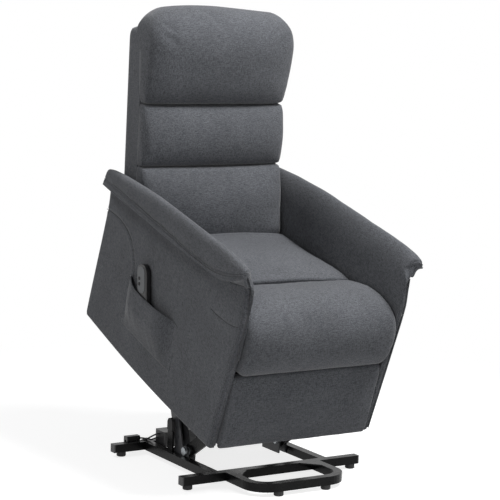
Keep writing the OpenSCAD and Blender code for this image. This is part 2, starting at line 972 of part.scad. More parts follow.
module drive_bracket() {
    ear = rod_eye_half + clevis_gap;
    slot_r = rod_pin_r + actuator_head_clearance;
    slot_end = actuator_head - [0.3, actuator_head_drop];
    color(steel_black)
        in_chair()
            on_both_sides()
                difference() {
                    bar(actuator_head - [0, 4], front_tube_at, 16, [ear, ear + drive_ear_steel],
                        cross_tube_d / 2 + 5);
                    bar(actuator_head, slot_end, slot_r, [ear - 1, ear + drive_ear_steel + 1]);
                    cross_rod(front_tube_at, cross_tube_d / 2 + running_fit, [0, 2 * ear + 10]);
                }
}

function footrest_plane(n) =
    let (start = plate_outer + footrest_gap + (n - 1) * (footrest_link_steel + footrest_gap))
    [start, start + footrest_link_steel];

module chair_pivot_pins() {
    color(zinc)
        in_chair()
            on_both_sides() {
                cross_rod(chair_lower_pin, pivot_bolt_r, [lift_plane[0] - 5, plate_outer]);
                cross_rod(
                    chair_lower_pin, pivot_spacer_r,
                    [lift_plane[1] + side_gap, plate_inner - 0.1]
                );
                cross_rod(
                    chair_lower_pin, pivot_nut_r,
                    [lift_plane[0] - 5, lift_plane[0] - side_gap], $fn = 6
                );
                cross_rod(swing_pivot, footrest_pin_r, [plate_outer, footrest_plane(4)[1] + 1]);
                cross_rod(
                    swing_pivot, footrest_pin_r + 3,
                    [plate_outer, footrest_plane(4)[0] - side_gap]
                );
            }
}

module seat_frame() {
    color(wood_pale)
        in_chair()
            translate([0, seat_frame_y[0], seat_frame_z])
                difference() {
                    translate([-panel_inner, 0, 0])
                        cube([2 * panel_inner, seat_frame_y[1] - seat_frame_y[0], seat_frame_height]);
                    translate([-panel_inner + seat_rail, seat_rail, -1])
                        cube([
                            2 * (panel_inner - seat_rail),
                            seat_frame_y[1] - seat_frame_y[0] - 2 * seat_rail,
                            seat_frame_height + 2
                        ]);
                }
}

spring_wire = 4;
spring_half = 16;
spring_turns = 14;
spring_pitch = 82;

module zigzag_spring() {
    start = seat_frame_y[0] + seat_rail;
    length = seat_frame_y[1] - seat_frame_y[0] - 2 * seat_rail;
    pitch = length / (2 * spring_turns);
    near = [for (i = [0:2 * spring_turns])
        let (end = i == 0 || i == 2 * spring_turns)
        [end ? 0 : (i % 2 == 0 ? -spring_half : spring_half), start + i * pitch]];
    polygon(concat(
        [for (p = near) p + [spring_wire, 0]],
        reversed([for (p = near) p - [spring_wire, 0]])
    ));
}

module seat_springs() {
    color(zinc)
        in_chair()
            for (i = [-2:2])
                translate([i * spring_pitch, 0, seat_frame_top - 12])
                    linear_extrude(spring_wire)
                        zigzag_spring();
}

// ---- Chair's upholstery ----

// Height of the seat's upper surface above the frame, from the rear to the seam behind the roll
function seat_surface(y) = lookup(y, [[200, 392], [272, 392], [380, 378], [seat_rear_y, 351]]);

module seat_cushion() {
    shares = [0, 0.02, 0.07, 0.16, 0.3, 0.45, 0.6, 0.75, 0.88, 0.96, 1];
    bottom = seat_frame_top;
    color(fabric)
        in_chair()
            lofted([for (s = shares)
                let (y = seat_seam_y + soft_gap + (seat_rear_y - seat_seam_y - soft_gap) * s)
                let (full = pow(sin(180 * s), 0.35))
                let (half = seat_half - 9 * (1 - full))
                let (top = seat_surface(y) - 14 * (1 - full))
                [for (i = [0:ring_points - 1])
                    let (a = 360 * i / ring_points)
                    let (x = half * signed_power(sin(a), ring_squareness))
                    let (level = signed_power(cos(a), ring_squareness))
                    let (crown = 11 * full * max(0, level) * (1 - pow(x / half, 2)))
                    [x, y, (top + bottom) / 2 + (top - bottom) / 2 * level + crown]]]);
}

// Side outline of the roll that wraps the seat frame's front rail
roll_outline = [
    [-4, 235], [22, 235], [48, 244], [51, seat_frame_top], [126, seat_frame_top],
    [200, seat_frame_top], [200, 340], [200, 386], [190, 396], [167, 405], [130, 415], [98, 422],
    [65, 425], [28, 422], [-4, 415], [-30, 403], [-47, 384], [-55, 350], [-57, 311],
    [-52, 275], [-40, 248], [-24, 238]
];
roll_heart = [60, 335];

module seat_front_roll() {
    shares = [-1, -0.992, -0.97, -0.92, -0.8, -0.55, -0.25, 0, 0.25, 0.55, 0.8, 0.92, 0.97, 0.992, 1];
    color(fabric)
        in_chair()
            lofted([for (s = shares)
                let (drawn_in = 0.13 * pow(abs(s), 14) + 0.02 * pow(s, 2))
                [for (p = roll_outline)
                    let (q = roll_heart + (p - roll_heart) * (1 - drawn_in))
                    [seat_half * s, q.x, max(q.y, p.x > 50 && p.y < seat_frame_top + 1 ? seat_frame_top : 0)]]]);
}

// Line where the arm pad sits on its side panel
panel_top_line = [[-10, 508], [50, 488], [165, 477], [340, 465], [530, 456], [789, 436]];

module side_panel(side) {
    panel = concat(
        [[0, 0], [200, -10], [400, -13], [600, -10], [794, 0], [800, 17], [781, 366]],
        reversed(panel_top_line),
        [[-21, 468], [-28, 416], [-20, 275], [-8, 110]]
    );
    color(fabric)
        in_chair()
            on_side(side)
                across([panel_inner, panel_outer])
                    polygon(panel);
}

// Crest and lower lip of the arm pad along the chair
function arm_crest(y) = lookup(y, [[-30, 553], [0, 568], [68, 570], [244, 560], [490, 543],
                                   [693, 516], [760, 502], [790, 486]]);
function arm_lip(y) = lookup(y, [[-30, 530], [-11, 522], [50, 501], [165, 489], [340, 477],
                                 [530, 468], [790, 448]]);
function panel_top(y) = lookup(y, panel_top_line);

// Ring of the arm pad across the chair, from the crest outwards and back along the inside
function arm_ring(y, fullness) =
    let (top = arm_crest(y))
    let (lip = arm_lip(y))
    let (base = panel_top(y))
    let (crest_x = panel_outer + 11)
    let (out = panel_outer + arm_overhang * fullness)
    let (height = (top - base) * fullness)
    let (inner = panel_inner + 3)
    [for (p = [
        [crest_x, base + height],
        [crest_x + 9, base + height - 3],
        [(crest_x + out) / 2 + 5, base + height - 14],
        [out - 2, (base + height + lip) / 2 - 2],
        [out, lip + 8 * fullness],
        [out - 3, lip - 1],
        [out - 10, lip - 6],
        [panel_outer + 4, base + 1],
        [panel_outer - 4, base],
        [(panel_inner + panel_outer) / 2, base],
        [inner, base],
        [inner + 1, base + height * 0.2],
        [inner + 5, base + height * 0.42],
        [inner + 12, base + height * 0.68],
        [inner + 19, base + height * 0.86],
        [crest_x - 10, base + height - 3]
    ]) [p.x, y, p.y]];

module arm_pad(side) {
    stations = [
        [-29, 0.72], [-26, 0.86], [-18, 0.95], [-10, 0.98], [10, 1], [50, 1], [105, 1],
        [165, 1], [250, 1], [340, 1], [435, 1], [530, 1], [620, 1], [700, 1], [755, 0.98],
        [778, 0.92], [788, 0.8]
    ];
    color(fabric)
        in_chair()
            on_side(side)
                lofted([for (s = stations) arm_ring(s[0], s[1])]);
}

module rear_skirt() {
    color(fabric)
        in_chair()
            translate([-panel_inner, skirt_y, skirt_z[0]])
                cube([2 * panel_inner, skirt_thickness, skirt_z[1] - skirt_z[0]]);
}

// ---- Handset and pocket ----

module handset() {
    face_depth = 1;
    face_margin = 4;
    face_length = 76;
    face_start = handset_length - 86;
    corner = 9;
    color(plastic_black)
        in_handset()
            difference() {
                translate([0, handset_width / 2, 0])
                    rotate([90, 0, -90])
                        linear_extrude(handset_thickness)
                            polygon(rounded_rectangle([handset_width, handset_length], corner));
                for (z = button_heights)
                    translate([-handset_thickness - 1, button_y, z])
                        rotate([0, 90, 0])
                            cylinder(r = button_r + 0.3, h = button_pocket + 1);
                translate([
                    -handset_thickness - 1, -handset_width / 2 + face_margin, face_start - 3
                ])
                    cube([1 + face_depth, handset_width - 2 * face_margin, 1.2]);
                translate([
                    -handset_thickness - 1, -handset_width / 2 + face_margin,
                    face_start + face_length
                ])
                    cube([1 + face_depth, handset_width - 2 * face_margin, 1.2]);
            }
}

button_r = 5;
button_y = 12;
button_pocket = 6;
button_heights = [handset_length - 58, handset_length - 42];

module handset_button(z) {
    color(plastic_grey)
        in_handset()
            translate([-handset_thickness - button_proud, button_y, z])
                rotate([0, 90, 0])
                    cylinder(r = button_r, h = button_proud + button_pocket - button_travel - 0.4);
}

module up_button() {
    handset_button(button_heights[1]);
}

module down_button() {
    handset_button(button_heights[0]);
}

// Depth of the pouch in front of the panel, from its front edge to its rear edge
pouch = [[265, 4], [330, 12], [385, 24], [398, 30], [520, 30], [548, 20], [574, 4]];
pouch_bottom = 90;
pouch_mouth = 232;
pouch_hem = 9;

module pouch_outline(wall, hem) {
    depth = handset_thickness + handset_inner - panel_outer + handset_clear + pocket_wall;
    front = pouch[0].x + hem;
    rear = pouch[len(pouch) - 1].x - hem;
    polygon(concat(
        [for (p = pouch) [wall - max(min(p.y, depth), wall + 0.5), min(max(p.x, front), rear)]],
        [[wall > 0 ? 1 : 0, rear], [wall > 0 ? 1 : 0, front]]
    ));
}

// Pouch of cloth on the right panel, swelling out round the handset and open at its mouth
module handset_pocket() {
    lowest_corner = handset_foot.y - handset_width / 2 * sin(handset_lean);
    floor_z = lowest_corner - handset_clear;
    color(fabric)
        in_chair()
            translate([-panel_outer, 0, 0])
                difference() {
                    translate([0, 0, pouch_bottom])
                        linear_extrude(pouch_mouth - pouch_bottom)
                            pouch_outline(0, 0);
                    translate([0, 0, floor_z])
                        linear_extrude(pouch_mouth - floor_z + 1)
                            pouch_outline(pocket_wall, pouch_hem);
                }
}

// ---- Footrest ----

module footrest_hole(p, r, n) {
    plane = footrest_plane(n);
    cross_rod(p, r, [plane[0] - 1, plane[1] + 1]);
}

module footrest_pin(p, from, to) {
    cross_rod(p, footrest_pin_r, [footrest_plane(from)[0], footrest_plane(to)[1]]);
}

module footrest_torque_tube() {
    stub_end = footrest_plane(2)[1];
    color(steel_black)
        in_chair()
            on_both_sides() {
                difference() {
                    cross_rod(drive_pivot, cross_tube_d / 2, [0, plate_inner - side_gap]);
                    cross_rod(drive_pivot, cross_tube_d / 2 - 2, [-1, plate_inner - 12]);
                }
                cross_rod(drive_pivot, drive_stub_r, [plate_inner - 12, stub_end]);
            }
}

module footrest_drive_links() {
    guide_pin = drive_elbow + guide_offset;
    color(steel_black)
        in_chair()
            on_both_sides() {
                difference() {
                    bar(
                        drive_elbow, drive_pivot, footrest_link_half, footrest_plane(2),
                        elbow_half + 4
                    );
                    footrest_hole(drive_pivot, drive_stub_r + running_fit, 2);
                }
                footrest_pin(drive_elbow, 2, 3);
                footrest_pin(guide_pin, 1, 2);
            }
}

module footrest_carry_links() {
    color(steel_black)
        in_chair()
            on_both_sides() {
                difference() {
                    union() {
                        bar(drive_elbow, board_pin, footrest_link_half, footrest_plane(3));
                        bar(
                            drive_elbow, swing_elbow, footrest_link_half, footrest_plane(3),
                            elbow_half
                        );
                    }
                    footrest_hole(drive_elbow, footrest_pin_r + running_fit, 3);
                    footrest_hole(
                        swing_elbow + swing_hole_offset, footrest_pin_r + swing_clearance, 3
                    );
                }
                footrest_pin(board_pin, 2, 3);
            }
}

module footrest_swing_links() {
    color(steel_black)
        in_chair()
            on_both_sides() {
                difference() {
                    bar(swing_pivot, swing_elbow, footrest_link_half, footrest_plane(4));
                    footrest_hole(swing_pivot, footrest_pin_r + running_fit, 4);
                }
                footrest_pin(swing_elbow, 3, 4);
            }
}

module footrest_guide_links() {
    lower = drive_elbow + guide_offset;
    upper = board_pin + guide_offset;
    color(steel_black)
        in_chair()
            on_both_sides()
                difference() {
                    bar(lower, upper, footrest_link_half - 0.5, footrest_plane(1));
                    footrest_hole(lower, footrest_pin_r + running_fit, 1);
                    footrest_hole(upper, footrest_pin_r + guide_clearance, 1);
                }
}

module footrest_board_brackets() {
    upper = board_pin + guide_offset;
    plane = footrest_plane(2);
    flange = 20;
    flange_steel = 3;
    flange_z = [150, 225];
    color(steel_black)
        in_chair()
            on_both_sides() {
                difference() {
                    across(plane)
                        polygon([
                            [board_rear, flange_z[0]], [board_pin.x + 6, 170],
                            [board_pin.x + 12, 178], [board_pin.x + 12, 219],
                            [board_pin.x + 6, flange_z[1]], [board_rear, flange_z[1]]
                        ]);
                    footrest_hole(board_pin, footrest_pin_r + running_fit, 2);
                }
                footrest_pin(upper, 1, 2);
                across([plane[1] - 0.5, plane[1] + flange])
                    polygon([
                        [board_rear, flange_z[0]], [board_rear + flange_steel, flange_z[0]],
                        [board_rear + flange_steel, flange_z[1]], [board_rear, flange_z[1]]
                    ]);
            }
}

module footrest_board() {
    inset = 8;
    color(wood_pale)
        in_chair()
            translate([-footrest_width / 2 + inset, board_front, pad_z + inset])
                cube([footrest_width - 2 * inset, footrest_board_thickness, footrest_height - 2 * inset]);
}

module footrest_pad() {
    shares = [0, 0.03, 0.1, 0.22, 0.36, 0.5, 0.64, 0.78, 0.9, 0.97, 1];
    edge_depth = 11;
    swell = 10;
    color(fabric)
        in_chair()
            lofted([for (s = shares)
                let (full = pow(sin(180 * s), 0.4))
                cushion_ring(
                    footrest_width / 2 - 4 * (1 - full),
                    pad_rear - edge_depth - swell * full * (0.8 + 0.2 * s),
                    pad_rear, pad_z + footrest_height * s, 3 * full
                )]);
}

// ---- Back ----

module back_frame() {
    outer = back_half - back_shell_wall - 2;
    top = shell_top - back_shell_wall - 2;
    hinge = turn(back_pivot - back_origin, back_lean);
    hinge_plane = [
        plate_outer + back_hinge_gap,
        plate_outer + back_hinge_gap + back_hinge_steel
    ];
    rail_at = [cushion_rear + back_tube / 2, back_frame_bottom + back_tube / 2];
    color(steel_black)
        in_back() {
            difference() {
                translate([-outer, cushion_rear, back_frame_bottom])
                    cube([2 * outer, back_tube, top - back_frame_bottom]);
                translate([-outer + back_tube, cushion_rear - 1, back_frame_bottom + back_tube])
                    cube([
                        2 * (outer - back_tube), back_tube + 2,
                        top - back_frame_bottom - 2 * back_tube
                    ]);
            }
            translate([-outer + back_tube, cushion_rear, middle_seam - back_tube / 2])
                cube([2 * (outer - back_tube), back_tube, back_tube]);
            on_both_sides() {
                bar(hinge, rail_at, 14, hinge_plane, 11);
                cross_rod(hinge, pivot_bolt_r, [plate_inner - 3, hinge_plane[1]]);
                cross_rod(hinge, pivot_bolt_r + 4, [plate_outer + side_gap, hinge_plane[1]]);
            }
        }
}

// Padded cover of the back: open towards the cushions and at the bottom
module back_shell() {
    corner = 16;
    depth = back_shell_depth;
    color(fabric)
        in_back()
            difference() {
                translate([-back_half, cushion_rear + depth, shell_bottom])
                    rotate([90, 0, 0])
                        linear_extrude(depth)
                            polygon(concat(
                                [[0, 0], [back_width, 0]],
                                arc_points([back_width - corner, shell_top - shell_bottom - corner],
                                           corner, 0, 90, 6),
                                arc_points([corner, shell_top - shell_bottom - corner],
                                           corner, 90, 180, 6)
                            ));
                translate([-back_half + back_shell_wall, cushion_rear - 1, shell_bottom - 1])
                    cube([
                        back_width - 2 * back_shell_wall,
                        depth - back_shell_wall + 1,
                        shell_top - shell_bottom - back_shell_wall + 1
                    ]);
            }
}

// Cushion of the back between two seams, swelling forwards from them
module back_cushion(bottom, top, seam_y, crown_y) {
    shares = [0, 0.03, 0.1, 0.22, 0.36, 0.5, 0.64, 0.78, 0.9, 0.97, 1];
    lofted([for (s = shares)
        let (full = pow(sin(180 * s), 0.5))
        cushion_ring(
            back_half - 10 * (1 - full),
            seam_y - (seam_y - crown_y - 8) * full,
            cushion_rear, bottom + (top - bottom) * s, 8 * full
        )]);
}

module lumbar_cushion() {
    color(fabric)
        in_back()
            back_cushion(1, lumbar_seam - 0.2, 33, 0);
}

module middle_cushion() {
    color(fabric)
        in_back()
            back_cushion(lumbar_seam + 0.2, middle_seam - 0.2, 36, 18);
}

// Headrest: swells forwards most below its crest, which lies back over the shell's edge
module headrest_cushion() {
    over = shell_top + 1;
    rise = headrest_top - over;
    color(fabric)
        in_back()
            lofted([for (r = [
                // height, half width, front, rear, crown
                [middle_seam + 0.2, back_half - 10, 36, cushion_rear, 0],
                [middle_seam + 6, back_half - 3, 20, cushion_rear, 4],
                [middle_seam + 30, back_half + 1, 7, cushion_rear, 7],
                [475, back_half + 3, -1, cushion_rear, 8],
                [530, back_half + 4, -14, cushion_rear, 9],
                [575, back_half + 4, -19, cushion_rear, 8],
                [over, back_half + 2, -17, cushion_rear, 7],
                [over + 0.1 * rise, back_half, -12, cushion_rear + 14, 6],
                [over + 0.4 * rise, back_half - 6, 0, cushion_rear + 28, 4],
                [over + 0.72 * rise, back_half - 18, 18, cushion_rear + 27, 3],
                [over + 0.93 * rise, back_half - 42, 38, cushion_rear + 18, 1],
                [over + rise, back_half - 70, 52, cushion_rear + 5, 0]
            ]) cushion_ring(r[1], r[2], r[3], r[0], r[4])]);
}

front_crossbar();
rear_crossbar();
side_rail(RIGHT);  // right_side_rail
side_rail(LEFT);  // left_side_rail
front_stabiliser();
tube_end_caps();
floor_glides();
lift_tower(RIGHT);  // right_lift_tower
lift_tower(LEFT);  // left_lift_tower
tower_pivot_bolts();
rest_stop_brackets();
rest_stop_pads();
actuator_base_clevis();
actuator_base_pin();
control_box();
control_box_bracket();
power_inlet();
supply_leads();
lower_lift_link(RIGHT);  // right_lower_lift_link
lower_lift_link(LEFT);  // left_lower_lift_link
lift_torque_tube();
upper_lift_link(RIGHT);  // right_upper_lift_link
upper_lift_link(LEFT);  // left_upper_lift_link
upper_cross_tube();
actuator_gearbox();
actuator_motor();
actuator_outer_tube();
actuator_rod();
side_plate(RIGHT);  // right_side_plate
side_plate(LEFT);  // left_side_plate
front_cross_tube();
rear_cross_tube();
drive_bracket();
chair_pivot_pins();
seat_frame();
seat_springs();
seat_cushion();
seat_front_roll();
side_panel(RIGHT);  // right_side_panel
side_panel(LEFT);  // left_side_panel
arm_pad(RIGHT);  // right_arm_pad
arm_pad(LEFT);  // left_arm_pad
rear_skirt();
handset_pocket();
handset();
up_button();
down_button();
footrest_drive_links();
footrest_torque_tube();
footrest_carry_links();
footrest_swing_links();
footrest_guide_links();
footrest_board();
footrest_board_brackets();
footrest_pad();
back_frame();
back_shell();
headrest_cushion();
middle_cushion();
lumbar_cushion();
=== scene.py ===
"""Lift recliner chair: upholstery, finishes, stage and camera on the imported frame."""

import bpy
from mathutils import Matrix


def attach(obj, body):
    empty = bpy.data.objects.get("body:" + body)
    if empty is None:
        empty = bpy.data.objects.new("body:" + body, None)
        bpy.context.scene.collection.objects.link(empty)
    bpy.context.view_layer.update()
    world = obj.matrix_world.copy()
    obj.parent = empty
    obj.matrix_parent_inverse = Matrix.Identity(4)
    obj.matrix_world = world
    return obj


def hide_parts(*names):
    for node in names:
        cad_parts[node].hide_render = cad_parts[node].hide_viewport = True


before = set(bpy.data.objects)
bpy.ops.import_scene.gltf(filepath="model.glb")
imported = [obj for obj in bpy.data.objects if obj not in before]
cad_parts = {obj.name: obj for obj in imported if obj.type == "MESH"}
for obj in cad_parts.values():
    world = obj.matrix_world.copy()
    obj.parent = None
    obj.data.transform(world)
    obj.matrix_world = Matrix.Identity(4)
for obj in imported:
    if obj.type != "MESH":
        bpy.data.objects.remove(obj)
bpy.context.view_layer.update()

import math

import bmesh
import bpy
from bpy.props import FloatProperty, FloatVectorProperty, IntProperty, PointerProperty
from mathutils import Matrix, Vector, noise

bl_info = {
    "name": "Lift Recliner Chair",
    "version": (1, 0, 0),
    "blender": (4, 5, 0),
    "location": "View3D > Sidebar > Lift Recliner",
    "description": "Builds the upholstery and finishes of a lift recliner chair",
    "category": "Object",
}

# Places of the chair's own frames. Inside them sizes are millimetres: X to the occupant's left,
# Y back from the front corner (or from the cushions' front), and Z up along the chair (or up
# the back).
MILLIMETRE = 0.001
CHAIR_TILT = math.radians(18.35)
BACK_LEAN = math.radians(16)
HANDSET_LEAN = math.radians(20.9)
PART = Matrix.Scale(MILLIMETRE, 4)
CHAIR = PART @ Matrix.Translation((0, -278.1, 137.6)) @ Matrix.Rotation(CHAIR_TILT, 4, "X")
BACK = CHAIR @ Matrix.Translation((0, 578, 360)) @ Matrix.Rotation(-BACK_LEAN, 4, "X")
HANDSET = CHAIR @ Matrix.Translation((-277, 434, 188)) @ Matrix.Rotation(-HANDSET_LEAN, 4, "X")

PANEL_INNER = 247
PANEL_OUTER = 272
BACK_HALF = 240
SEAT_HALF = 243
FOOTREST_HALF = 244

STEEL_NODES = (
    "front_crossbar", "rear_crossbar", "right_side_rail", "left_side_rail", "front_stabiliser",
    "rest_stop_brackets", "actuator_base_clevis", "control_box_bracket",
    "right_lower_lift_link", "left_lower_lift_link", "lift_torque_tube",
    "right_upper_lift_link", "left_upper_lift_link", "upper_cross_tube",
    "right_side_plate", "left_side_plate", "front_cross_tube", "rear_cross_tube",
    "drive_bracket", "footrest_drive_links", "footrest_torque_tube", "footrest_carry_links",
    "footrest_swing_links", "footrest_guide_links", "footrest_board_brackets", "back_frame",
)
GREY_NODES = ("right_lift_tower", "left_lift_tower", "actuator_motor", "actuator_outer_tube")
ZINC_NODES = (
    "tower_pivot_bolts", "actuator_base_pin", "actuator_rod", "chair_pivot_pins", "seat_springs",
)
MOULDED_NODES = ("tube_end_caps", "control_box", "power_inlet", "actuator_gearbox", "handset")
RUBBER_NODES = ("floor_glides", "rest_stop_pads", "up_button", "down_button")
WOOD_NODES = ("seat_frame", "footrest_board")


# ---- Colours and materials ----

def linear(code):
    """Linear RGBA of an sRGB hex colour."""
    parts = [int(code[i:i + 2], 16) / 255 for i in (1, 3, 5)]
    return [c / 12.92 if c <= 0.04045 else ((c + 0.055) / 1.055) ** 2.4 for c in parts] + [1.0]


def shaded(colour, share, lift=0.0):
    """A colour made darker or paler."""
    return [min(1.0, c * share + lift) for c in colour[:3]] + [1.0]


def join(tree, node, links):
    """Joins a node's inputs to sockets, or to the first outputs of nodes."""
    for key, source in links.items():
        tree.links.new(getattr(source, "outputs", [source])[0], node.inputs[key])


def add(tree, kind, values=None, links=None, stops=(), **settings):
    """Adds a node, sets its properties, input values and colour stops, and joins its inputs."""
    node = tree.nodes.new(kind)
    for key, value in settings.items():
        setattr(node, key, value)
    for key, value in (values or {}).items():
        node.inputs[key].default_value = value
    for i, (position, colour) in enumerate(stops):
        elements = node.color_ramp.elements
        stop = elements[i] if i < 2 else elements.new(position)
        stop.position = position
        stop.color = colour
    join(tree, node, links or {})
    return node


def start_material(name, values):
    """An empty material with its output, its shader with set values, and Object coordinates."""
    material = bpy.data.materials.new(name)
    material.use_nodes = True
    tree = material.node_tree
    tree.nodes.clear()
    output = add(tree, "ShaderNodeOutputMaterial")
    shader = add(tree, "ShaderNodeBsdfPrincipled", values)
    join(tree, output, {"Surface": shader})
    place = add(tree, "ShaderNodeTexCoord").outputs["Object"]
    return material, tree, shader, place


def seen_directly(tree):
    """1 for rays from the camera, off a glossy face or through glass, and 0 for other rays."""
    rays = add(tree, "ShaderNodeLightPath").outputs
    seen = add(
        tree, "ShaderNodeMath",
        links={0: rays["Is Camera Ray"], 1: rays["Is Glossy Ray"]}, operation="MAXIMUM"
    )
    return add(
        tree, "ShaderNodeMath", links={0: seen, 1: rays["Is Transmission Ray"]},
        operation="MAXIMUM"
    )


def woven_linen(name, pale, dark, spacing, slub):
    """Heathered polyester linen: matt, soft-edged, with pale and dark yarns crossing each other.
    Real yarns are 0.7 mm wide. They are drawn wider so that they show at this image size."""
    material, tree, shader, place = start_material(name, {
        "Roughness": 0.88, "Sheen Weight": 0.22, "Sheen Roughness": 0.45,
        "Specular IOR Level": 0.25,
    })
    yarns = []
    for reach in ((1, 1, 0), (1, 0, 1), (0, 1, 1)):
        scale = [1000 / spacing if r else 1000 / slub for r in reach]
        turned = add(
            tree, "ShaderNodeMapping", {"Rotation": (-CHAIR_TILT, 0, 0)}, {"Vector": place}
        )
        laid = add(tree, "ShaderNodeMapping", {"Scale": scale}, {"Vector": turned})
        yarns.append(add(
            tree, "ShaderNodeTexNoise", {"Scale": 1.0, "Detail": 2.0, "Roughness": 0.6},
            {"Vector": laid}
        ))
    pair = add(tree, "ShaderNodeMath", links={0: yarns[0], 1: yarns[1]}, operation="ADD")
    cloth = add(tree, "ShaderNodeMath", links={0: pair, 1: yarns[2]}, operation="ADD")
    weave = add(
        tree, "ShaderNodeMapRange", {"From Min": 1.3, "From Max": 1.7}, {"Value": cloth}
    )
    tint = add(
        tree, "ShaderNodeValToRGB", links={"Fac": weave}, stops=((0.0, dark), (1.0, pale))
    )
    # Slow change of shade over a hand's width, as pressed and brushed cloth has
    shade = add(tree, "ShaderNodeTexNoise", {"Scale": 9.0, "Detail": 3.0}, {"Vector": place})
    level = add(
        tree, "ShaderNodeValToRGB", links={"Fac": shade},
        stops=((0.3, (0.9, 0.9, 0.9, 1)), (0.7, (1.08, 1.08, 1.08, 1)))
    )
    mixed = add(
        tree, "ShaderNodeMix", {"Factor": 1.0}, {6: tint, 7: level},
        data_type="RGBA", blend_type="MULTIPLY"
    )
    bump = add(
        tree, "ShaderNodeBump", {"Strength": 0.35, "Distance": 0.0007}, {"Height": weave}
    )
    join(tree, shader, {"Base Color": mixed.outputs[2], "Normal": bump})
    return material


def powder_coat(name, colour, rough, gloss):
    """Baked powder paint on steel: slightly pebbled, satin, dusty in random patches, which are
    paler and rougher.
    """
    material, tree, shader, place = start_material(name, {"Specular IOR Level": gloss})
    # Orange peel is 0.4 mm in reality and is drawn at 1.5 mm
    peel = add(
        tree, "ShaderNodeTexNoise", {"Scale": 1000 / 1.5, "Detail": 1.0}, {"Vector": place}
    )
    bump = add(tree, "ShaderNodeBump", {"Strength": 0.18, "Distance": 0.0003}, {"Height": peel})
    patch = add(tree, "ShaderNodeTexNoise", {"Scale": 22.0, "Detail": 4.0}, {"Vector": place})
    wear = add(
        tree, "ShaderNodeMapRange",
        {"From Min": 0.3, "From Max": 0.7, "To Min": rough - 0.06, "To Max": rough + 0.08},
        {"Value": patch}
    )
    tint = add(
        tree, "ShaderNodeValToRGB", links={"Fac": patch},
        stops=((0.35, colour), (0.75, shaded(colour, 1.35, 0.002)))
    )
    join(tree, shader, {"Base Color": tint, "Roughness": wear, "Normal": bump})
    return material


def zinc_plate(name):
    """Zinc-plated steel: a clear blue-white metal, brushed by handling."""
    material, tree, shader, place = start_material(name, {"Metallic": 1.0})
    drawn_out = add(
        tree, "ShaderNodeMapping", {"Scale": (120, 900, 900)}, {"Vector": place}
    )
    brushed = add(
        tree, "ShaderNodeTexNoise", {"Scale": 1.0, "Detail": 3.0}, {"Vector": drawn_out}
    )
    rough = add(
        tree, "ShaderNodeMapRange", {"To Min": 0.28, "To Max": 0.5}, {"Value": brushed}
    )
    tint = add(
        tree, "ShaderNodeValToRGB", links={"Fac": brushed},
        stops=((0.3, linear("#8d9296")), (0.7, linear("#b6babd")))
    )
    join(tree, shader, {"Base Color": tint, "Roughness": rough})
    return material


def moulded_plastic(name, colour, rough, grain):
    """Moulded ABS or rubber: an even colour with the fine grain of an eroded mould."""
    material, tree, shader, place = start_material(name, {"IOR": 1.53})
    pits = add(tree, "ShaderNodeTexVoronoi", {"Scale": 1000 / grain}, {"Vector": place})
    bump = add(tree, "ShaderNodeBump", {"Strength": 0.2, "Distance": 0.0002}, {"Height": pits})
    cloud = add(tree, "ShaderNodeTexNoise", {"Scale": 30.0, "Detail": 3.0}, {"Vector": place})
    tint = add(
        tree, "ShaderNodeValToRGB", links={"Fac": cloud},
        stops=((0.3, shaded(colour, 0.85)), (0.7, shaded(colour, 1.2)))
    )
    spread = add(
        tree, "ShaderNodeMapRange", {"To Min": rough - 0.05, "To Max": rough + 0.07},
        {"Value": cloud}
    )
    join(tree, shader, {"Base Color": tint, "Roughness": spread, "Normal": bump})
    return material


def birch_plywood(name):
    """Bare birch board: pale, with long grain along its width and a few darker rays."""
    material, tree, shader, place = start_material(name, {"Roughness": 0.68})
    laid = add(tree, "ShaderNodeMapping", {"Scale": (6, 110, 110)}, {"Vector": place})
    grain = add(
        tree, "ShaderNodeTexNoise", {"Scale": 1.0, "Detail": 6.0, "Distortion": 0.4},
        {"Vector": laid}
    )
    tint = add(tree, "ShaderNodeValToRGB", links={"Fac": grain}, stops=(
        (0.25, linear("#8f6d44")), (0.75, linear("#c9a877")), (0.5, linear("#b8945f"))
    ))
    bump = add(tree, "ShaderNodeBump", {"Strength": 0.2, "Distance": 0.0003}, {"Height": grain})
    join(tree, shader, {"Base Color": tint, "Normal": bump})
    return material


def studio_floor(name, colour):
    """Pale studio paper that keeps the chair's shadow and meets a white background."""
    material, tree, shader, place = start_material(
        name, {"Roughness": 0.9, "Specular IOR Level": 0.0}
    )
    fibres = add(tree, "ShaderNodeTexNoise", {"Scale": 60.0, "Detail": 2.0}, {"Vector": place})
    tint = add(
        tree, "ShaderNodeValToRGB", links={"Fac": fibres},
        stops=((0.2, shaded(colour, 0.985)), (0.8, colour))
    )
    join(tree, shader, {"Base Color": tint})
    direct = seen_directly(tree)
    lift = add(tree, "ShaderNodeMath", {1: 0.8}, {0: direct}, operation="MULTIPLY")
    glow = add(tree, "ShaderNodeEmission", {"Color": (1, 1, 1, 1)}, {"Strength": lift})
    lit = add(tree, "ShaderNodeAddShader", links={0: shader, 1: glow})
    # Away from the chair the paper rises into the white background
    reach = add(tree, "ShaderNodeVectorMath", links={0: place}, operation="LENGTH")
    far = add(
        tree, "ShaderNodeMapRange", {"From Min": 0.7, "From Max": 1.9},
        {"Value": reach.outputs["Value"]}, interpolation_type="SMOOTHSTEP"
    )
    share = add(tree, "ShaderNodeMath", links={0: far, 1: direct}, operation="MULTIPLY")
    plain = add(tree, "ShaderNodeEmission", {"Color": (1, 1, 1, 1), "Strength": 1.0})
    both = add(tree, "ShaderNodeMixShader", links={0: share, 1: lit, 2: plain})
    output = next(n for n in tree.nodes if n.type == "OUTPUT_MATERIAL")
    join(tree, output, {"Surface": both})
    return material


FINISHES = {}


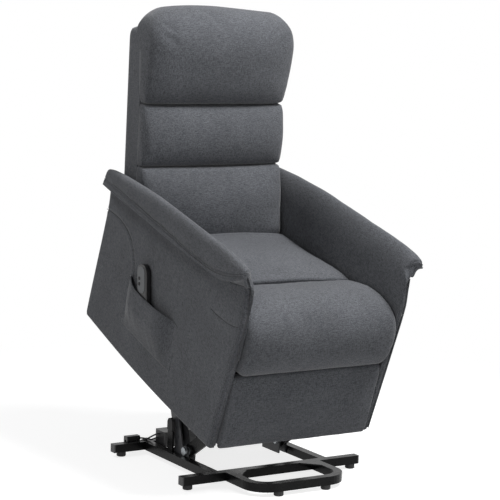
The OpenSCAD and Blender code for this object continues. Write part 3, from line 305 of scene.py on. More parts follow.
def finish(key):
    """A finish of the chair, made once."""
    if key not in FINISHES:
        sizes = bpy.context.scene.lift_recliner
        pale = list(sizes.cloth_pale) + [1.0]
        dark = list(sizes.cloth_dark) + [1.0]
        makers = {
            "linen": (woven_linen, "woven_linen", pale, dark, sizes.yarn, sizes.slub),
            "piping": (woven_linen, "linen_piping", shaded(pale, 0.92), dark, 1.6, 8.0),
            # The seam thread is a real thread, drawn near-black, far darker than the cloth: its
            # colour is painted shade of the seam's groove
            "thread": (moulded_plastic, "sewing_thread", shaded(dark, 0.32), 0.8, 1.0),
            "black_steel": (powder_coat, "black_powder_coat", linear("#0a0a0b"), 0.26, 0.11),
            "grey_steel": (powder_coat, "grey_powder_coat", linear("#3a3b3e"), 0.34, 0.32),
            "zinc": (zinc_plate, "zinc_plate"),
            "black_plastic": (moulded_plastic, "black_abs", linear("#0d0d0f"), 0.4, 1.3),
            "rubber": (moulded_plastic, "black_rubber", linear("#1b1b1c"), 0.78, 1.6),
            "grey_plastic": (moulded_plastic, "grey_abs", linear("#3e4246"), 0.36, 1.2),
            "lead": (moulded_plastic, "pvc_lead", linear("#18181a"), 0.5, 1.5),
            "wood": (birch_plywood, "birch_plywood"),
        }
        maker, *look = makers[key]
        FINISHES[key] = maker(*look)
    return FINISHES[key]


# ---- Shapes ----

def through(table, x):
    """Values at x of the smooth line through rows of (x, value, ...)."""
    if x <= table[0][0]:
        return list(table[0][1:])
    if x >= table[-1][0]:
        return list(table[-1][1:])
    i = max(k for k in range(len(table) - 1) if table[k][0] <= x)
    step = table[i + 1][0] - table[i][0]
    t = (x - table[i][0]) / step

    def slope(k, column):
        low, high = max(k - 1, 0), min(k + 1, len(table) - 1)
        return (table[high][column] - table[low][column]) / (table[high][0] - table[low][0])

    values = []
    for column in range(1, len(table[0])):
        a, b = table[i][column], table[i + 1][column]
        leave, arrive = slope(i, column) * step, slope(i + 1, column) * step
        values.append(
            (2 * t ** 3 - 3 * t ** 2 + 1) * a + (t ** 3 - 2 * t ** 2 + t) * leave
            + (3 * t ** 2 - 2 * t ** 3) * b + (t ** 3 - t ** 2) * arrive
        )
    return values


def on_loop(points, share):
    """Point at a share of a smooth closed line through points."""
    count = len(points)
    place = (share % 1.0) * count
    i = int(place) % count
    t = place - int(place)
    a, b, c, d = (points[(i + k - 1) % count] for k in range(4))
    return [
        0.5 * (2 * b[k] + (c[k] - a[k]) * t + (2 * a[k] - 5 * b[k] + 4 * c[k] - d[k]) * t * t
               + (3 * b[k] - a[k] - 3 * c[k] + d[k]) * t ** 3)
        for k in range(2)
    ]


def limited(value):
    """A value kept between 0 and 1."""
    return max(0.0, min(1.0, value))


def wander(x, y, z, size):
    """Smooth noise from -1 to 1 with features of about size."""
    return noise.noise(Vector((x / size + 3.7, y / size + 1.3, z / size + 8.1)))


def gather(along, away, pitch, reach, seed):
    """Small pull lines that run away from a sewn edge, from -1 to 1."""
    return math.exp(-max(away, 0) / reach) * wander(along, seed * 31, away * 0.25, pitch)


def end_rows(half, radius, bulge, middle):
    """Rows across a cover: (distance from the middle, inset, share of the end's face)."""
    side = [(half + bulge * (1 - k * k), radius, k) for k in (0.02, 0.3, 0.6, 0.88)]
    for step in range(7):
        angle = math.radians(15 * step)
        side.append((
            half - radius * (1 - math.cos(angle)), radius * (1 - math.sin(angle)), 1.0
        ))
    flat = half - radius
    between = [(flat * (1 - 2 * i / middle), 0.0, 1.0) for i in range(1, middle)]
    return side + between + [(-x, inset, k) for x, inset, k in reversed(side)]


def rolled_cover(around, rows, point):
    """Closed cover: a grid rolled up round its rows, with its last rows drawn together."""
    bm = bmesh.new()
    bmesh.ops.create_grid(bm, x_segments=around, y_segments=len(rows) - 1, size=1)
    for vert in bm.verts:
        row = rows[round((vert.co.y + 1) / 2 * (len(rows) - 1))]
        vert.co = point((vert.co.x + 1) / 2, row)
    bmesh.ops.remove_doubles(bm, verts=bm.verts, dist=0.02)
    bmesh.ops.holes_fill(bm, edges=[e for e in bm.edges if e.is_boundary], sides=0)
    bmesh.ops.recalc_face_normals(bm, faces=bm.faces)
    return bm


def sausage(outline, heart, extent, ease):
    """Point of a cover whose outline (side view) is drawn in towards its ends.
    ease holds how much of the rounding the front, the bottom, the top and the rear take."""
    def point(share, row):
        x, inset, k = row
        p, q = on_loop(outline, share)
        dp, dq = p - heart[0], q - heart[1]
        deep = inset * (ease[0] if dp < 0 else ease[3])
        tall = inset * (ease[1] if dq < 0 else ease[2])
        p = heart[0] + dp * k * (1 - min(0.9, deep / extent[0]))
        q = heart[1] + dq * k * (1 - min(0.9, tall / extent[1]))
        return Vector((x, p, q))
    return point


def extruded(bm):
    """Extrudes all faces of a bmesh and gives the new points."""
    copy = bmesh.ops.extrude_face_region(bm, geom=list(bm.faces))
    return [part for part in copy["geom"] if isinstance(part, bmesh.types.BMVert)]


def mesh_from(name, bm, frame_of):
    """A mesh of what was drawn in one of the chair's frames."""
    mesh = bpy.data.meshes.new(name)
    bm.to_mesh(mesh)
    bm.free()
    mesh.transform(frame_of)
    return mesh


def put_in_scene(name, data):
    """A new object in the scene."""
    thing = bpy.data.objects.new(name, data)
    bpy.context.scene.collection.objects.link(thing)
    return thing


def place_piece(name, bm, frame_of, key, body, replaces=(), smooth=True):
    """Turns a bmesh drawn in one of the chair's frames into a piece that rides on a body."""
    mesh = mesh_from(name, bm, frame_of)
    mesh.polygons.foreach_set("use_smooth", [smooth] * len(mesh.polygons))
    mesh.materials.append(finish(key))
    piece = put_in_scene(name, mesh)
    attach(piece, body)
    if replaces:
        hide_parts(*replaces)
    return piece


def place_cover(name, bm, frame_of, body, replaces=()):
    """Turns a bmesh into a cloth cover that rides on a body."""
    return place_piece(name, bm, frame_of, "linen", body, replaces)


FILL_PRESSURE = 4.0
FILL_FRAMES = 20


def fill_cover(piece, sewn, cap):
    """Lets the filling's pressure swell a cover between its sewn lines, at most cap metres.
    sewn holds one weight for each point: 1 stays where it is."""
    scene = bpy.context.scene
    start = [v.co.copy() for v in piece.data.vertices]
    group = piece.vertex_groups.new(name="sewn")
    for index, weight in enumerate(sewn):
        if weight > 0:
            group.add([index], min(1.0, weight), "REPLACE")
    cloth = piece.modifiers.new("Cloth", "CLOTH")
    cloth.settings.quality = 6
    cloth.settings.use_pressure = True
    cloth.settings.uniform_pressure_force = FILL_PRESSURE
    cloth.settings.vertex_group_mass = "sewn"
    cloth.settings.tension_stiffness = 12
    cloth.settings.compression_stiffness = 12
    cloth.settings.shear_stiffness = 4
    cloth.settings.bending_stiffness = 0.6
    cloth.settings.effector_weights.gravity = 0
    cloth.collision_settings.use_collision = False
    cloth.point_cache.frame_start = 1
    cloth.point_cache.frame_end = FILL_FRAMES
    for frame_number in range(1, FILL_FRAMES + 1):
        scene.frame_set(frame_number)
    depsgraph = bpy.context.evaluated_depsgraph_get()
    filled = piece.evaluated_get(depsgraph).to_mesh()
    moved = [v.co.copy() for v in filled.vertices]
    piece.evaluated_get(depsgraph).to_mesh_clear()
    piece.modifiers.remove(cloth)
    piece.vertex_groups.remove(group)
    scene.frame_set(1)
    for vert, old, new in zip(piece.data.vertices, start, moved):
        step = new - old
        if step.length > cap:
            step = step * (cap / step.length)
        vert.co = old + step


def round_line(name, points, radius, resolution):
    """A curve through points in metres, as thick as a cord, with closed ends."""
    curve = bpy.data.curves.new(name, "CURVE")
    curve.dimensions = "3D"
    curve.bevel_depth = radius
    curve.bevel_resolution = resolution
    curve.use_fill_caps = True
    spline = curve.splines.new("POLY")
    spline.points.add(len(points) - 1)
    for target, source in zip(spline.points, points):
        target.co = (*source, 1)
    return curve


def piping(name, points, radius, frame_of, key, body):
    """A covered cord, or a sewn thread whose dark colour paints the seam's shade, along a line,
    as a closed tube.
    """
    line = [frame_of @ Vector(point) for point in points]
    holder = put_in_scene(name + "_line", round_line(name, line, radius * MILLIMETRE, 3))
    depsgraph = bpy.context.evaluated_depsgraph_get()
    mesh = bpy.data.meshes.new_from_object(holder.evaluated_get(depsgraph))
    bpy.data.objects.remove(holder)
    mesh.materials.clear()
    mesh.materials.append(finish(key))
    mesh.polygons.foreach_set("use_smooth", [True] * len(mesh.polygons))
    piece = put_in_scene(name, mesh)
    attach(piece, body)
    return piece


def smooth_points(points, steps):
    """A smooth open line through 3D points."""
    table = [(i, *p) for i, p in enumerate(points)]
    count = (len(points) - 1) * steps
    return [through(table, i / steps) for i in range(count + 1)]


# ---- Back ----

LUMBAR = [
    (76, -13), (52, -15), (26, -14), (10, -9), (2, 4), (-1, 38), (-4, 72), (-5, 104), (-2, 136),
    (5, 164), (14, 185), (24, 198), (38, 205.5), (55, 207), (76, 206), (76, 150), (76, 100),
    (76, 50),
]
MIDDLE = [
    (76, 210), (55, 208.5), (40, 210), (29, 216), (20, 228), (12, 248), (6, 274), (4, 300),
    (6, 328), (12, 353), (21, 373), (31, 384), (42, 389.5), (55, 391), (76, 389.5), (76, 345),
    (76, 299), (76, 255),
]
HEADREST = [
    (76, 395), (55, 392.5), (36, 393.5), (22, 400), (12, 414), (3, 436), (-5, 462), (-13, 492),
    (-20, 524), (-25, 556), (-26, 584), (-22, 608), (-13, 628), (2, 645), (22, 658), (46, 665.5),
    (70, 667), (90, 661), (102, 648), (105, 632), (99, 618), (82, 613), (76, 580), (76, 520),
    (76, 455),
]
HEADREST_HALF = [
    (391, 233), (405, 238), (440, 242), (500, 244.5), (560, 245.5), (600, 244), (625, 240),
    (645, 231), (658, 219), (668, 206),
]
HEADREST_CROWN = [
    (-245, -9), (-215, 1), (-170, 9), (-100, 14), (-20, 14), (60, 9), (140, 3), (200, -2),
    (245, -10),
]


class BackCushions(bpy.types.Operator):
    """Sews and fills the lumbar, middle and headrest cushions"""
    bl_idname = "lift_recliner.back_cushions"
    bl_label = "Back cushions"

    def execute(self, context):
        sizes = context.scene.lift_recliner
        specs = (
            ("lumbar_cover", LUMBAR, -15, 207, "lumbar_cushion", 1),
            ("middle_cover", MIDDLE, 209, 391, "middle_cushion", 2),
            ("headrest_cover", HEADREST, 392, 690, "headrest_cushion", 3),
        )
        for name, outline, low, high, node, seed in specs:
            head = node == "headrest_cushion"
            heart = (50, 520) if head else (44, (low + high) / 2)
            extent = (80, 136) if head else (42, (high - low) / 2)
            rows = end_rows(BACK_HALF, 26 if head else 19, 3, 44)
            shape = sausage(outline, heart, extent, (1.0, 0.2, 0.9 if head else 0.2, 0.0))

            def point(share, row, shape=shape, head=head, low=low, high=high, seed=seed):
                p = shape(share, row)
                if head:
                    p.x *= through(HEADREST_HALF, p.z)[0] / BACK_HALF
                    p.z += through(HEADREST_CROWN, p.x)[0] * limited((p.z - 540) / 100)
                else:
                    edge = min(p.z - low, high - p.z) / (high - low)
                    p.x *= 1 - 0.009 * math.exp(-max(edge, 0) * 16)
                front = limited((66 - p.y) / 50)
                from_seam = min(p.z - low, high - p.z) if not head else p.z - low
                lowest = 0.35 if seed == 1 else 1.0
                curve = max(lowest, min(1.0, (p.z - low) / 90))
                p.y += front * 20 * curve * abs(p.x / BACK_HALF) ** 3.4
                p.y += front * (
                    2.1 * gather(p.x, from_seam, 17, 22, seed)
                    + 2.4 * wander(p.x, seed * 40, p.z, 120)
                    + 0.9 * wander(p.x, seed * 70, p.z, 45)
                )
                corner = math.hypot((BACK_HALF - abs(p.x)) / 60, max(0.0, from_seam) / 45)
                p.y += front * 2.6 * math.exp(-corner) * wander(
                    math.atan2(from_seam, BACK_HALF - abs(p.x) + 1) * 60, seed, 0, 9
                )
                if head:
                    crest = math.hypot((BACK_HALF - abs(p.x)) / 55, (660 - p.z) / 50)
                    p.y += front * 3.2 * math.exp(-crest * crest) * wander(
                        math.atan2(660 - p.z, BACK_HALF - abs(p.x) + 1) * 60, 5, 0, 8
                    )
                return p

            bm = rolled_cover(sizes.cover_points, rows, point)
            sewn = []
            for vert in bm.verts:
                edge = min(vert.co.z - low, high - vert.co.z)
                rear = limited((vert.co.y - 40) / 30)
                end = limited((abs(vert.co.x) - BACK_HALF + 9) / 6)
                sewn.append(max(rear, end, math.exp(-max(edge, 0) / 9)))
            piece = place_cover(name, bm, BACK, "back", (node,))
            fill_cover(piece, sewn, sizes.swell * MILLIMETRE)
        return {"FINISHED"}


class BackShell(bpy.types.Operator):
    """Covers the sides, top and rear of the back"""
    bl_idname = "lift_recliner.back_shell"
    bl_label = "Back shell"

    def execute(self, context):
        low, high, front, rear, wall, radius = -60, 612, 75, 165, 11, 22
        bm = bmesh.new()
        bmesh.ops.create_cube(bm, size=2)
        gone = [f for f in bm.faces if f.normal.y < -0.5 or f.normal.z < -0.5]
        bmesh.ops.delete(bm, geom=gone, context="FACES_ONLY")
        loose = [v for v in bm.verts if not v.link_faces]
        bmesh.ops.delete(bm, geom=loose, context="VERTS")
        bmesh.ops.subdivide_edges(bm, edges=bm.edges, cuts=47, use_grid_fill=True)
        size = Vector((BACK_HALF, (rear - front) / 2, (high - low) / 2))
        middle = Vector((0, (rear + front) / 2, (high + low) / 2))
        for vert in bm.verts:
            u, v, w = vert.co
            box = Vector((u * size.x, v * size.y, w * size.z))
            core = Vector((
                max(-size.x + radius, min(size.x - radius, box.x)),
                min(size.y - radius, box.y),
                min(size.z - radius, box.z),
            ))
            away = box - core
            if away.length > 1e-6:
                box = core + away.normalized() * min(
                    radius, away.length if (abs(u) < 1 and v < 1 and w < 1) else radius
                )
            p = box + middle
            if v > 0.99:
                p.y += 5 * (1 - abs(u) ** 4) * (1 - abs(w) ** 4)
                p.y += 1.5 * wander(p.x, p.z, 5, 130)
            if abs(u) > 0.99:
                p.x += math.copysign(0.9, u) * wander(p.y, p.z, u * 9, 90)
            vert.co = p
        bmesh.ops.recalc_face_normals(bm, faces=bm.faces)
        if sum(v.normal.dot(v.co - middle) for v in bm.verts) < 0:
            bmesh.ops.reverse_faces(bm, faces=bm.faces)
        bmesh.ops.solidify(bm, geom=bm.faces, thickness=wall)
        piece = place_cover("back_shell_cover", bm, BACK, "back", ("back_shell",))
        for side in (-1, 1):
            line = smooth_points([
                (side * 233.5, 159, z) for z in (-58, 60, 180, 300, 420, 540)
            ] + [(side * 233, 158.5, 588), (side * 226, 158.5, 605.5)], 6)
            piping(f"back_edge_piping_{'left' if side > 0 else 'right'}", line, 2.2, BACK,
                   "piping", "back")
        return {"FINISHED"}


# ---- Seat ----

SEAT_SEAM = 200
SEAT = [
    (203, 300), (201.5, 340), (201, 380), (202.5, 388), (208, 391.5), (225, 392.5), (255, 392.5),
    (300, 389), (380, 378.5), (470, 366), (540, 360), (574, 357), (586, 351), (587, 325),
    (582, 300), (575, 288.5), (480, 288), (400, 288), (300, 288), (220, 288.5),
]
ROLL = [
    (-24, 238), (-4, 236), (22, 236), (46, 243), (50, 262), (51.5, 286), (90, 287.6),
    (140, 287.6), (194, 288), (200, 300), (200, 330), (200, 360), (199.8, 382), (197.5, 389.5),
    (190, 395.5), (174, 401.5), (152, 408.5), (128, 415), (98, 421), (65, 424), (30, 422),
    (-2, 415), (-28, 403), (-45, 385), (-54, 360), (-57, 330), (-57, 305), (-53, 278), (-45, 256),
    (-36, 244),
]


class Seat(bpy.types.Operator):
    """Sews and fills the seat cushion and the roll over its front"""
    bl_idname = "lift_recliner.seat"
    bl_label = "Seat"

    def execute(self, context):
        sizes = context.scene.lift_recliner
        specs = (
            ("seat_cover", SEAT, (390, 335), (190, 50), "seat_cushion", 11, 22),
            ("front_roll_cover", ROLL, (70, 335), (128, 96), "seat_front_roll", 12, 28),
        )
        for name, outline, heart, extent, node, seed, radius in specs:
            rows = end_rows(SEAT_HALF, radius, 0.5, 44)
            shape = sausage(outline, heart, extent, (0.45, 0.9, 0.9, 0.02))

            def point(share, row, shape=shape, seed=seed, node=node):
                p = shape(share, row)
                top = limited((p.z - 330) / 30)
                across = 1 - (p.x / SEAT_HALF) ** 2
                crown = 14 if node == "seat_cushion" else 4
                p.z += top * crown * across
                away = abs(p.y - SEAT_SEAM)
                p.z += top * (
                    1.5 * gather(p.x, away, 19, 30, seed)
                    + 2.2 * wander(p.x, p.y, seed * 9, 130)
                    + 0.8 * wander(p.x, p.y, seed * 5, 50)
                )
                if node == "seat_front_roll" and p.y < 0:
                    front = limited(-p.y / 30)
                    p.y += front * (
                        1.8 * gather(p.x, p.z - 238, 18, 26, seed)
                        + 2.0 * wander(p.x, seed * 8, p.z, 110)
                    )
                edge = SEAT_HALF - abs(p.x)
                p.z += top * 1.3 * gather(p.y, edge, 24, 24, seed + 4)
                return p

            bm = rolled_cover(sizes.cover_points, rows, point)
            sewn = []
            for vert in bm.verts:
                low = limited((322 - vert.co.z) / 20) if vert.co.y > 0 else 0.0
                seam = math.exp(-abs(vert.co.y - SEAT_SEAM) / 10)
                side = math.exp(-(SEAT_HALF - abs(vert.co.x)) / 8)
                under = limited((262 - vert.co.z) / 12)
                rear = limited((vert.co.y - 545) / 20)
                sewn.append(min(1.0, max(low, seam, side, under, rear)))
            piece = place_cover(name, bm, CHAIR, "chair", (node,))
            fill_cover(piece, sewn, sizes.swell * MILLIMETRE)
        return {"FINISHED"}


# ---- Arms and side panels ----

SIDES = ((-1, "right"), (1, "left"))
LIP_ROOT = 284
ARM_FRONT = -23
ARM_REAR = 785
WELT_FRONT = -27
CREST = [
    (-32, 561), (-20, 564), (0, 567), (30, 569), (68, 570), (150, 566), (244, 560),
    (370, 552), (490, 543), (600, 529.5), (693, 516), (760, 503), (792, 493),
]
WELT_HIGH = [
    (-32, 549), (-21, 546), (0, 537), (40, 519), (99, 503), (150, 496), (239, 491), (340, 488.5),
    (420, 486), (530, 482), (642, 477.5), (780, 465), (792, 464),
]
WELT_LOW = [
    (-32, 541), (-20, 535), (0, 522), (15, 514), (50, 501), (100, 494), (165, 489), (250, 482.5),
    (340, 477), (430, 472.5), (530, 468), (660, 458.5), (792, 448),
]
PANEL_TOP = [(-10, 508), (50, 488), (165, 477), (340, 465), (530, 456), (792, 436)]


def straight(table, x):
    """Value at x of the straight lines through rows of (x, value)."""
    if x <= table[0][0]:
        return table[0][1]
    for (x0, y0), (x1, y1) in zip(table, table[1:]):
        if x <= x1:
            return y0 + (y1 - y0) * (x - x0) / (x1 - x0)
    return table[-1][1]


def lip_flare(y):
    """Share of its full reach that the lip has: less at the nose and towards the back."""
    return through([
        (-32, 0.4), (-20, 0.56), (0, 0.8), (28, 0.96), (60, 1.0), (520, 1.0), (650, 0.9),
        (740, 0.68), (795, 0.5),
    ], y)[0]


def arm_outline(y):
    """Section of the arm's cover across the chair: crest, flared lip, base and inner face."""
    top = through(CREST, y)[0]
    high = through(WELT_HIGH, y)[0]
    low = through(WELT_LOW, y)[0]
    base = straight(PANEL_TOP, y) + 0.6
    rise = top - high
    flare = lip_flare(y)

    def out(x):
        return LIP_ROOT + (x - LIP_ROOT) * flare

    return [
        (283, top), (out(290), top - 0.06 * rise - 0.6), (out(296), top - 0.26 * rise),
        (out(300), top - 0.52 * rise), (out(303), top - 0.78 * rise), (out(302.5), high + 3),
        (out(299), high), (out(304), high - 3.5), (out(308), (high + low) / 2),
        (out(308.8), low + 1.5), (out(307), low - 1.8), (out(302), low - 2.6),
        (out(291), low - 3 - 0.1 * (low - base)), (280, base + 1 + 0.45 * (low - base)),
        (273.5, base + 0.5), (266, base), (256, base),
        (249.2, base - 1), (249, base - 60), (248.9, 300), (248, 297), (247.1, 300),
        (246.6, base - 60), (246.9, base - 10), (248.5, base + 0.16 * (top - base)),
        (252.5, base + 0.42 * (top - base)), (259, base + 0.68 * (top - base)),
        (267, base + 0.88 * (top - base)), (275, top - 1.2),
    ]


def arm_rows():
    """Stations along an arm: (place, share of the section, inset)."""
    front = [(-30.5, 0.03, 4), (-30.3, 0.5, 4), (-29.8, 0.85, 4)]
    for turn in (0, 25, 50, 75):
        angle = math.radians(turn)
        front.append((
            ARM_FRONT - 6.5 + 6 * (1 - math.cos(angle)), 1.0, 6 * (1 - math.sin(angle))
        ))
    middle = [(ARM_FRONT + (ARM_REAR - ARM_FRONT) * i / 70, 1.0, 0.0) for i in range(71)]
    rear = []
    for turn in (25, 50, 75, 90):
        angle = math.radians(turn)
        rear.append((ARM_REAR + 5 * math.sin(angle), 1.0, 6 * (1 - math.cos(angle))))
    return front + middle + rear + [(790.4, 0.85, 6), (790.8, 0.5, 6), (791, 0.03, 6)]


class Arms(bpy.types.Operator):
    """Covers both arms: crest, flared lip with two welts, and inner face"""
    bl_idname = "lift_recliner.arms"
    bl_label = "Arms"

    def execute(self, context):
        for side, word in SIDES:
            def point(share, row, side=side):
                y, k, inset = row
                x, z = on_loop(arm_outline(y), share)
                heart = (278, 0.5 * (through(CREST, y)[0] + through(WELT_LOW, y)[0]))
                if z < heart[1] - 70:
                    heart = (248, heart[1] - 70)
                dx, dz = x - heart[0], z - heart[1]
                if inset:
                    size = math.hypot(dx, dz) + 1e-6
                    pull = max(0.2, 1 - inset / size)
                    dx, dz = dx * pull, dz * pull
                x, z = heart[0] + dx * k, heart[1] + dz * k
                outer = limited((x - 276) / 10)
                z += outer * 0.9 * wander(y, 3, x, 60)
                x += outer * 1.6 * wander(y, z, 2 + side, 70)
                high = through(WELT_HIGH, y)[0]
                x += outer * 1.1 * gather(y, max(0.0, z - high), 15, 16, 5 + side)
                inner = limited((262 - x) / 10) * limited((z - 400) / 60)
                x += inner * 1.0 * wander(y, z, 7 + side, 90)
                # The nose is cut back towards the seat, and the welt's end points forward
                nose = limited((34 - y) / 62)
                back = limited((296 - x) / 46) * limited((z - 500) / 30)
                y += 24 * nose * nose * back ** 1.4
                return Vector((side * x, y, z))

            bm = rolled_cover(132, arm_rows(), point)
            piece = place_cover(
                f"{word}_arm_cover", bm, CHAIR, "chair", (f"{word}_arm_pad",)
            )
            stations = [WELT_FRONT + (ARM_REAR - WELT_FRONT) * i / 60 for i in range(61)]
            for label, table, x, radius in (
                ("upper", WELT_HIGH, 302.9, 2.3), ("lower", WELT_LOW, 307.8, 2.5),
            ):
                line = [
                    (side * (LIP_ROOT + (x - LIP_ROOT) * lip_flare(y)), y,
                     through(table, y)[0] - 0.3)
                    for y in stations
                ]
                piping(f"{word}_arm_{label}_welt", line, radius, CHAIR, "piping", "chair")
        return {"FINISHED"}


PANEL_LENGTH = 800
PANEL_HEIGHT = 490
PANEL_CORNERS = ((0, 0), (794, 0), (-16, 508), (787, 434))
PANEL_FRONT = [
    (0, 0, 0), (0.22, -8, 110), (0.55, -20, 275), (0.83, -28, 416), (0.93, -21, 468),
    (1, -16, 508),
]
PANEL_REAR = [(0, 794, 0), (0.04, 800, 17), (0.84, 781, 366), (1, 787, 434)]
REAR_SEAM = [
    (783, 366), (740, 372), (691, 374), (645, 366), (608, 350), (585, 330), (569, 306),
    (556, 275), (545, 240), (536, 205), (530, 178),
]
FRONT_SEAM = [(120, 372), (96, 371), (70, 372), (40, 374), (10, 379), (-24, 390)]


def panel_place(u, t):
    """Point of a side panel for shares back from the front and up from the bottom."""
    low_front, low_rear, high_front, high_rear = PANEL_CORNERS
    bottom = (low_rear[0] * u, -13 * math.sin(math.pi * u))
    top_y = high_front[0] + (high_rear[0] - high_front[0]) * u
    top = (top_y, straight(PANEL_TOP, top_y) - 1)
    front = through(PANEL_FRONT, t)
    rear = through(PANEL_REAR, t)
    point = []
    for k in range(2):
        corners = (
            (1 - u) * (1 - t) * low_front[k] + u * (1 - t) * low_rear[k]
            + (1 - u) * t * high_front[k] + u * t * high_rear[k]
        )
        point.append(
            (1 - t) * bottom[k] + t * top[k] + (1 - u) * front[k] + u * rear[k] - corners
        )
    return point


def from_line(point, line):
    """Distance of a point from a line of straight pieces."""
    best = 1e9
    for a, b in zip(line, line[1:]):
        dx, dy = b[0] - a[0], b[1] - a[1]
        t = ((point[0] - a[0]) * dx + (point[1] - a[1]) * dy) / (dx * dx + dy * dy)
        t = limited(t)
        best = min(best, math.hypot(point[0] - a[0] - t * dx, point[1] - a[1] - t * dy))
    return best


def spread_share(share):
    """Share with its steps closer together near both ends."""
    return share - 0.12 * math.sin(2 * math.pi * share) / 2


class SidePanels(bpy.types.Operator):
    """Covers both side panels, with their sewn seams and edge piping"""
    bl_idname = "lift_recliner.side_panels"
    bl_label = "Side panels"

    def execute(self, context):
        thin = context.scene.lift_recliner.panel_swell
        for side, word in SIDES:
            bm = bmesh.new()
            bmesh.ops.create_grid(bm, x_segments=210, y_segments=130, size=1)
            for vert in bm.verts:
                u = spread_share((vert.co.x + 1) / 2)
                t = spread_share((vert.co.y + 1) / 2)
                y, z = panel_place(u, t)
                edge = min(u * PANEL_LENGTH, (1 - u) * PANEL_LENGTH, t * PANEL_HEIGHT)
                x = PANEL_OUTER + thin * (1 - math.exp(-edge / 60)) - 1.2
                if edge < 9:
                    x -= 9 - math.sqrt(81 - (9 - edge) ** 2)
                x += min(1.0, edge / 60) * (
                    1.3 * wander(y, z, side * 4, 150) + 0.7 * wander(y, z, side * 6, 60)
                )
                for line, depth in ((REAR_SEAM, 2.0), (FRONT_SEAM, 1.8)):
                    away = from_line((y, z), line)
                    if away < 30:
                        x -= depth * math.exp(-(away / 3.2) ** 2)
                        x += 0.7 * math.exp(-((away - 9) / 6) ** 2)
                vert.co = Vector((side * x, y, z))
            for vert in extruded(bm):
                vert.co.x = side * (PANEL_INNER + 2.3)
            bmesh.ops.recalc_face_normals(bm, faces=bm.faces)
            piece = place_cover(
                f"{word}_panel_cover", bm, CHAIR, "chair", (f"{word}_side_panel",)
            )
            # Seam threads: real stitching, drawn near-black so that they also paint the shade in
            # each seam's groove
            for label, line in (("rear", REAR_SEAM), ("front", FRONT_SEAM)):
                path = smooth_points([
                    (side * (PANEL_OUTER - 2.4 + thin * (
                        1 - math.exp(-min(y + 22, 796 - y) / 60)
                    )), y, z) for y, z in line
                ], 6)
                piping(f"{word}_panel_{label}_seam", path, 0.9, CHAIR, "thread", "chair")
            steps = [0.015 + 0.97 * i / 40 for i in range(41)]
            for label, x in (("outer", PANEL_OUTER - 2.2), ("inner", PANEL_INNER + 1.6)):
                path = []
                for t in steps:
                    y, z = through(PANEL_FRONT, t)
                    path.append((side * x, y + 0.8, z))
                piping(f"{word}_front_{label}_piping", path, 2.4, CHAIR, "piping", "chair")
        return {"FINISHED"}


class RearSkirt(bpy.types.Operator):
    """Covers the panel between the sides, below the back"""
    bl_idname = "lift_recliner.rear_skirt"
    bl_label = "Rear skirt"

    def execute(self, context):
        outline = [
            (765.5, 60), (765.5, 13), (768, 10.5), (778, 10), (787, 11.5), (790, 18), (791, 60),
            (791.5, 122), (791, 185), (790, 228), (786, 233.5), (777, 235), (768, 234.5),
            (765.5, 231), (765.5, 185), (765.5, 122),
        ]
        rows = end_rows(246.5, 5, 0.3, 40)
        shape = sausage(outline, (777, 122), (13, 112), (1.0, 1.0, 1.0, 1.0))

        def point(share, row):
            p = shape(share, row)
            if p.y > 780:
                p.y += 1.4 * wander(p.x, 3, p.z, 110) + 0.8 * gather(p.x, 235 - p.z, 20, 20, 3)
            return p

        bm = rolled_cover(72, rows, point)
        piece = place_cover("rear_skirt_cover", bm, CHAIR, "chair", ("rear_skirt",))
        return {"FINISHED"}


# ---- Handset and its pocket ----

POCKET_FRONT = 264
POCKET_DEEPEST = 455
POCKET_REAR = 575
POCKET_LOW = 92
MOUTH = [
    (262, 237), (300, 243), (340, 245), (380, 243), (420, 240.5), (460, 239.5), (490, 241),
    (515, 248), (535, 255), (555, 254), (577, 244),
]
BUTTON_HEIGHTS = (92, 108)


class HandsetPocket(bpy.types.Operator):
    """Sews the pouch on the right panel that holds the handset"""
    bl_idname = "lift_recliner.handset_pocket"
    bl_label = "Handset pocket"

    def execute(self, context):
        def bulge(y, share):
            spread = 118 if y > POCKET_DEEPEST else 190
            reach = max(0.0, 1 - ((y - POCKET_DEEPEST) / spread) ** 2)
            tall = math.sin(math.pi * min(1.0, 0.02 + share * 0.62)) ** 1.3
            aside = limited(min((y - POCKET_FRONT) / 70, (POCKET_REAR - y) / 34))
            aside = aside * aside * (3 - 2 * aside)
            return 25.6 * min(1.0, 1.25 * reach ** 0.8) * min(1.0, 1.08 * tall) * aside

        bm = bmesh.new()
        bmesh.ops.create_grid(bm, x_segments=90, y_segments=44, size=1)
        for vert in bm.verts:
            u, t = (vert.co.x + 1) / 2, (vert.co.y + 1) / 2
            y = POCKET_FRONT + (POCKET_REAR - POCKET_FRONT) * u
            z = POCKET_LOW + (through(MOUTH, y)[0] - POCKET_LOW) * t
            out = 0.5 + bulge(y, t)
            fold = math.exp(-((y - POCKET_DEEPEST - (z - 160) * 0.25) / 90) ** 2)
            out += min(1.0, out / 6) * (
                2.2 * fold * wander(y - (z - 90) * 0.25, 2, z * 0.2, 24) * (1 - t * 0.6)
                + 1.2 * wander(y, 6, z, 50)
            )
            vert.co = Vector((-(PANEL_OUTER + 1.0 + max(0.3, min(out, 27.5))), y, z))
        bmesh.ops.recalc_face_normals(bm, faces=bm.faces)
        if sum(f.normal.x for f in bm.faces) > 0:
            bmesh.ops.reverse_faces(bm, faces=bm.faces)
        bmesh.ops.solidify(bm, geom=bm.faces, thickness=1.8)
        piece = place_cover("pocket_cover", bm, CHAIR, "chair", ("handset_pocket",))
        hem = []
        for i in range(41):
            y = POCKET_FRONT + (POCKET_REAR - POCKET_FRONT) * (i / 40)
            out = 0.5 + bulge(y, 1.0)
            hem.append((-(PANEL_OUTER + 1.2 + min(out, 27)), y, through(MOUTH, y)[0] + 0.8))
        piping("pocket_hem", hem, 2.2, CHAIR, "piping", "chair")
        return {"FINISHED"}


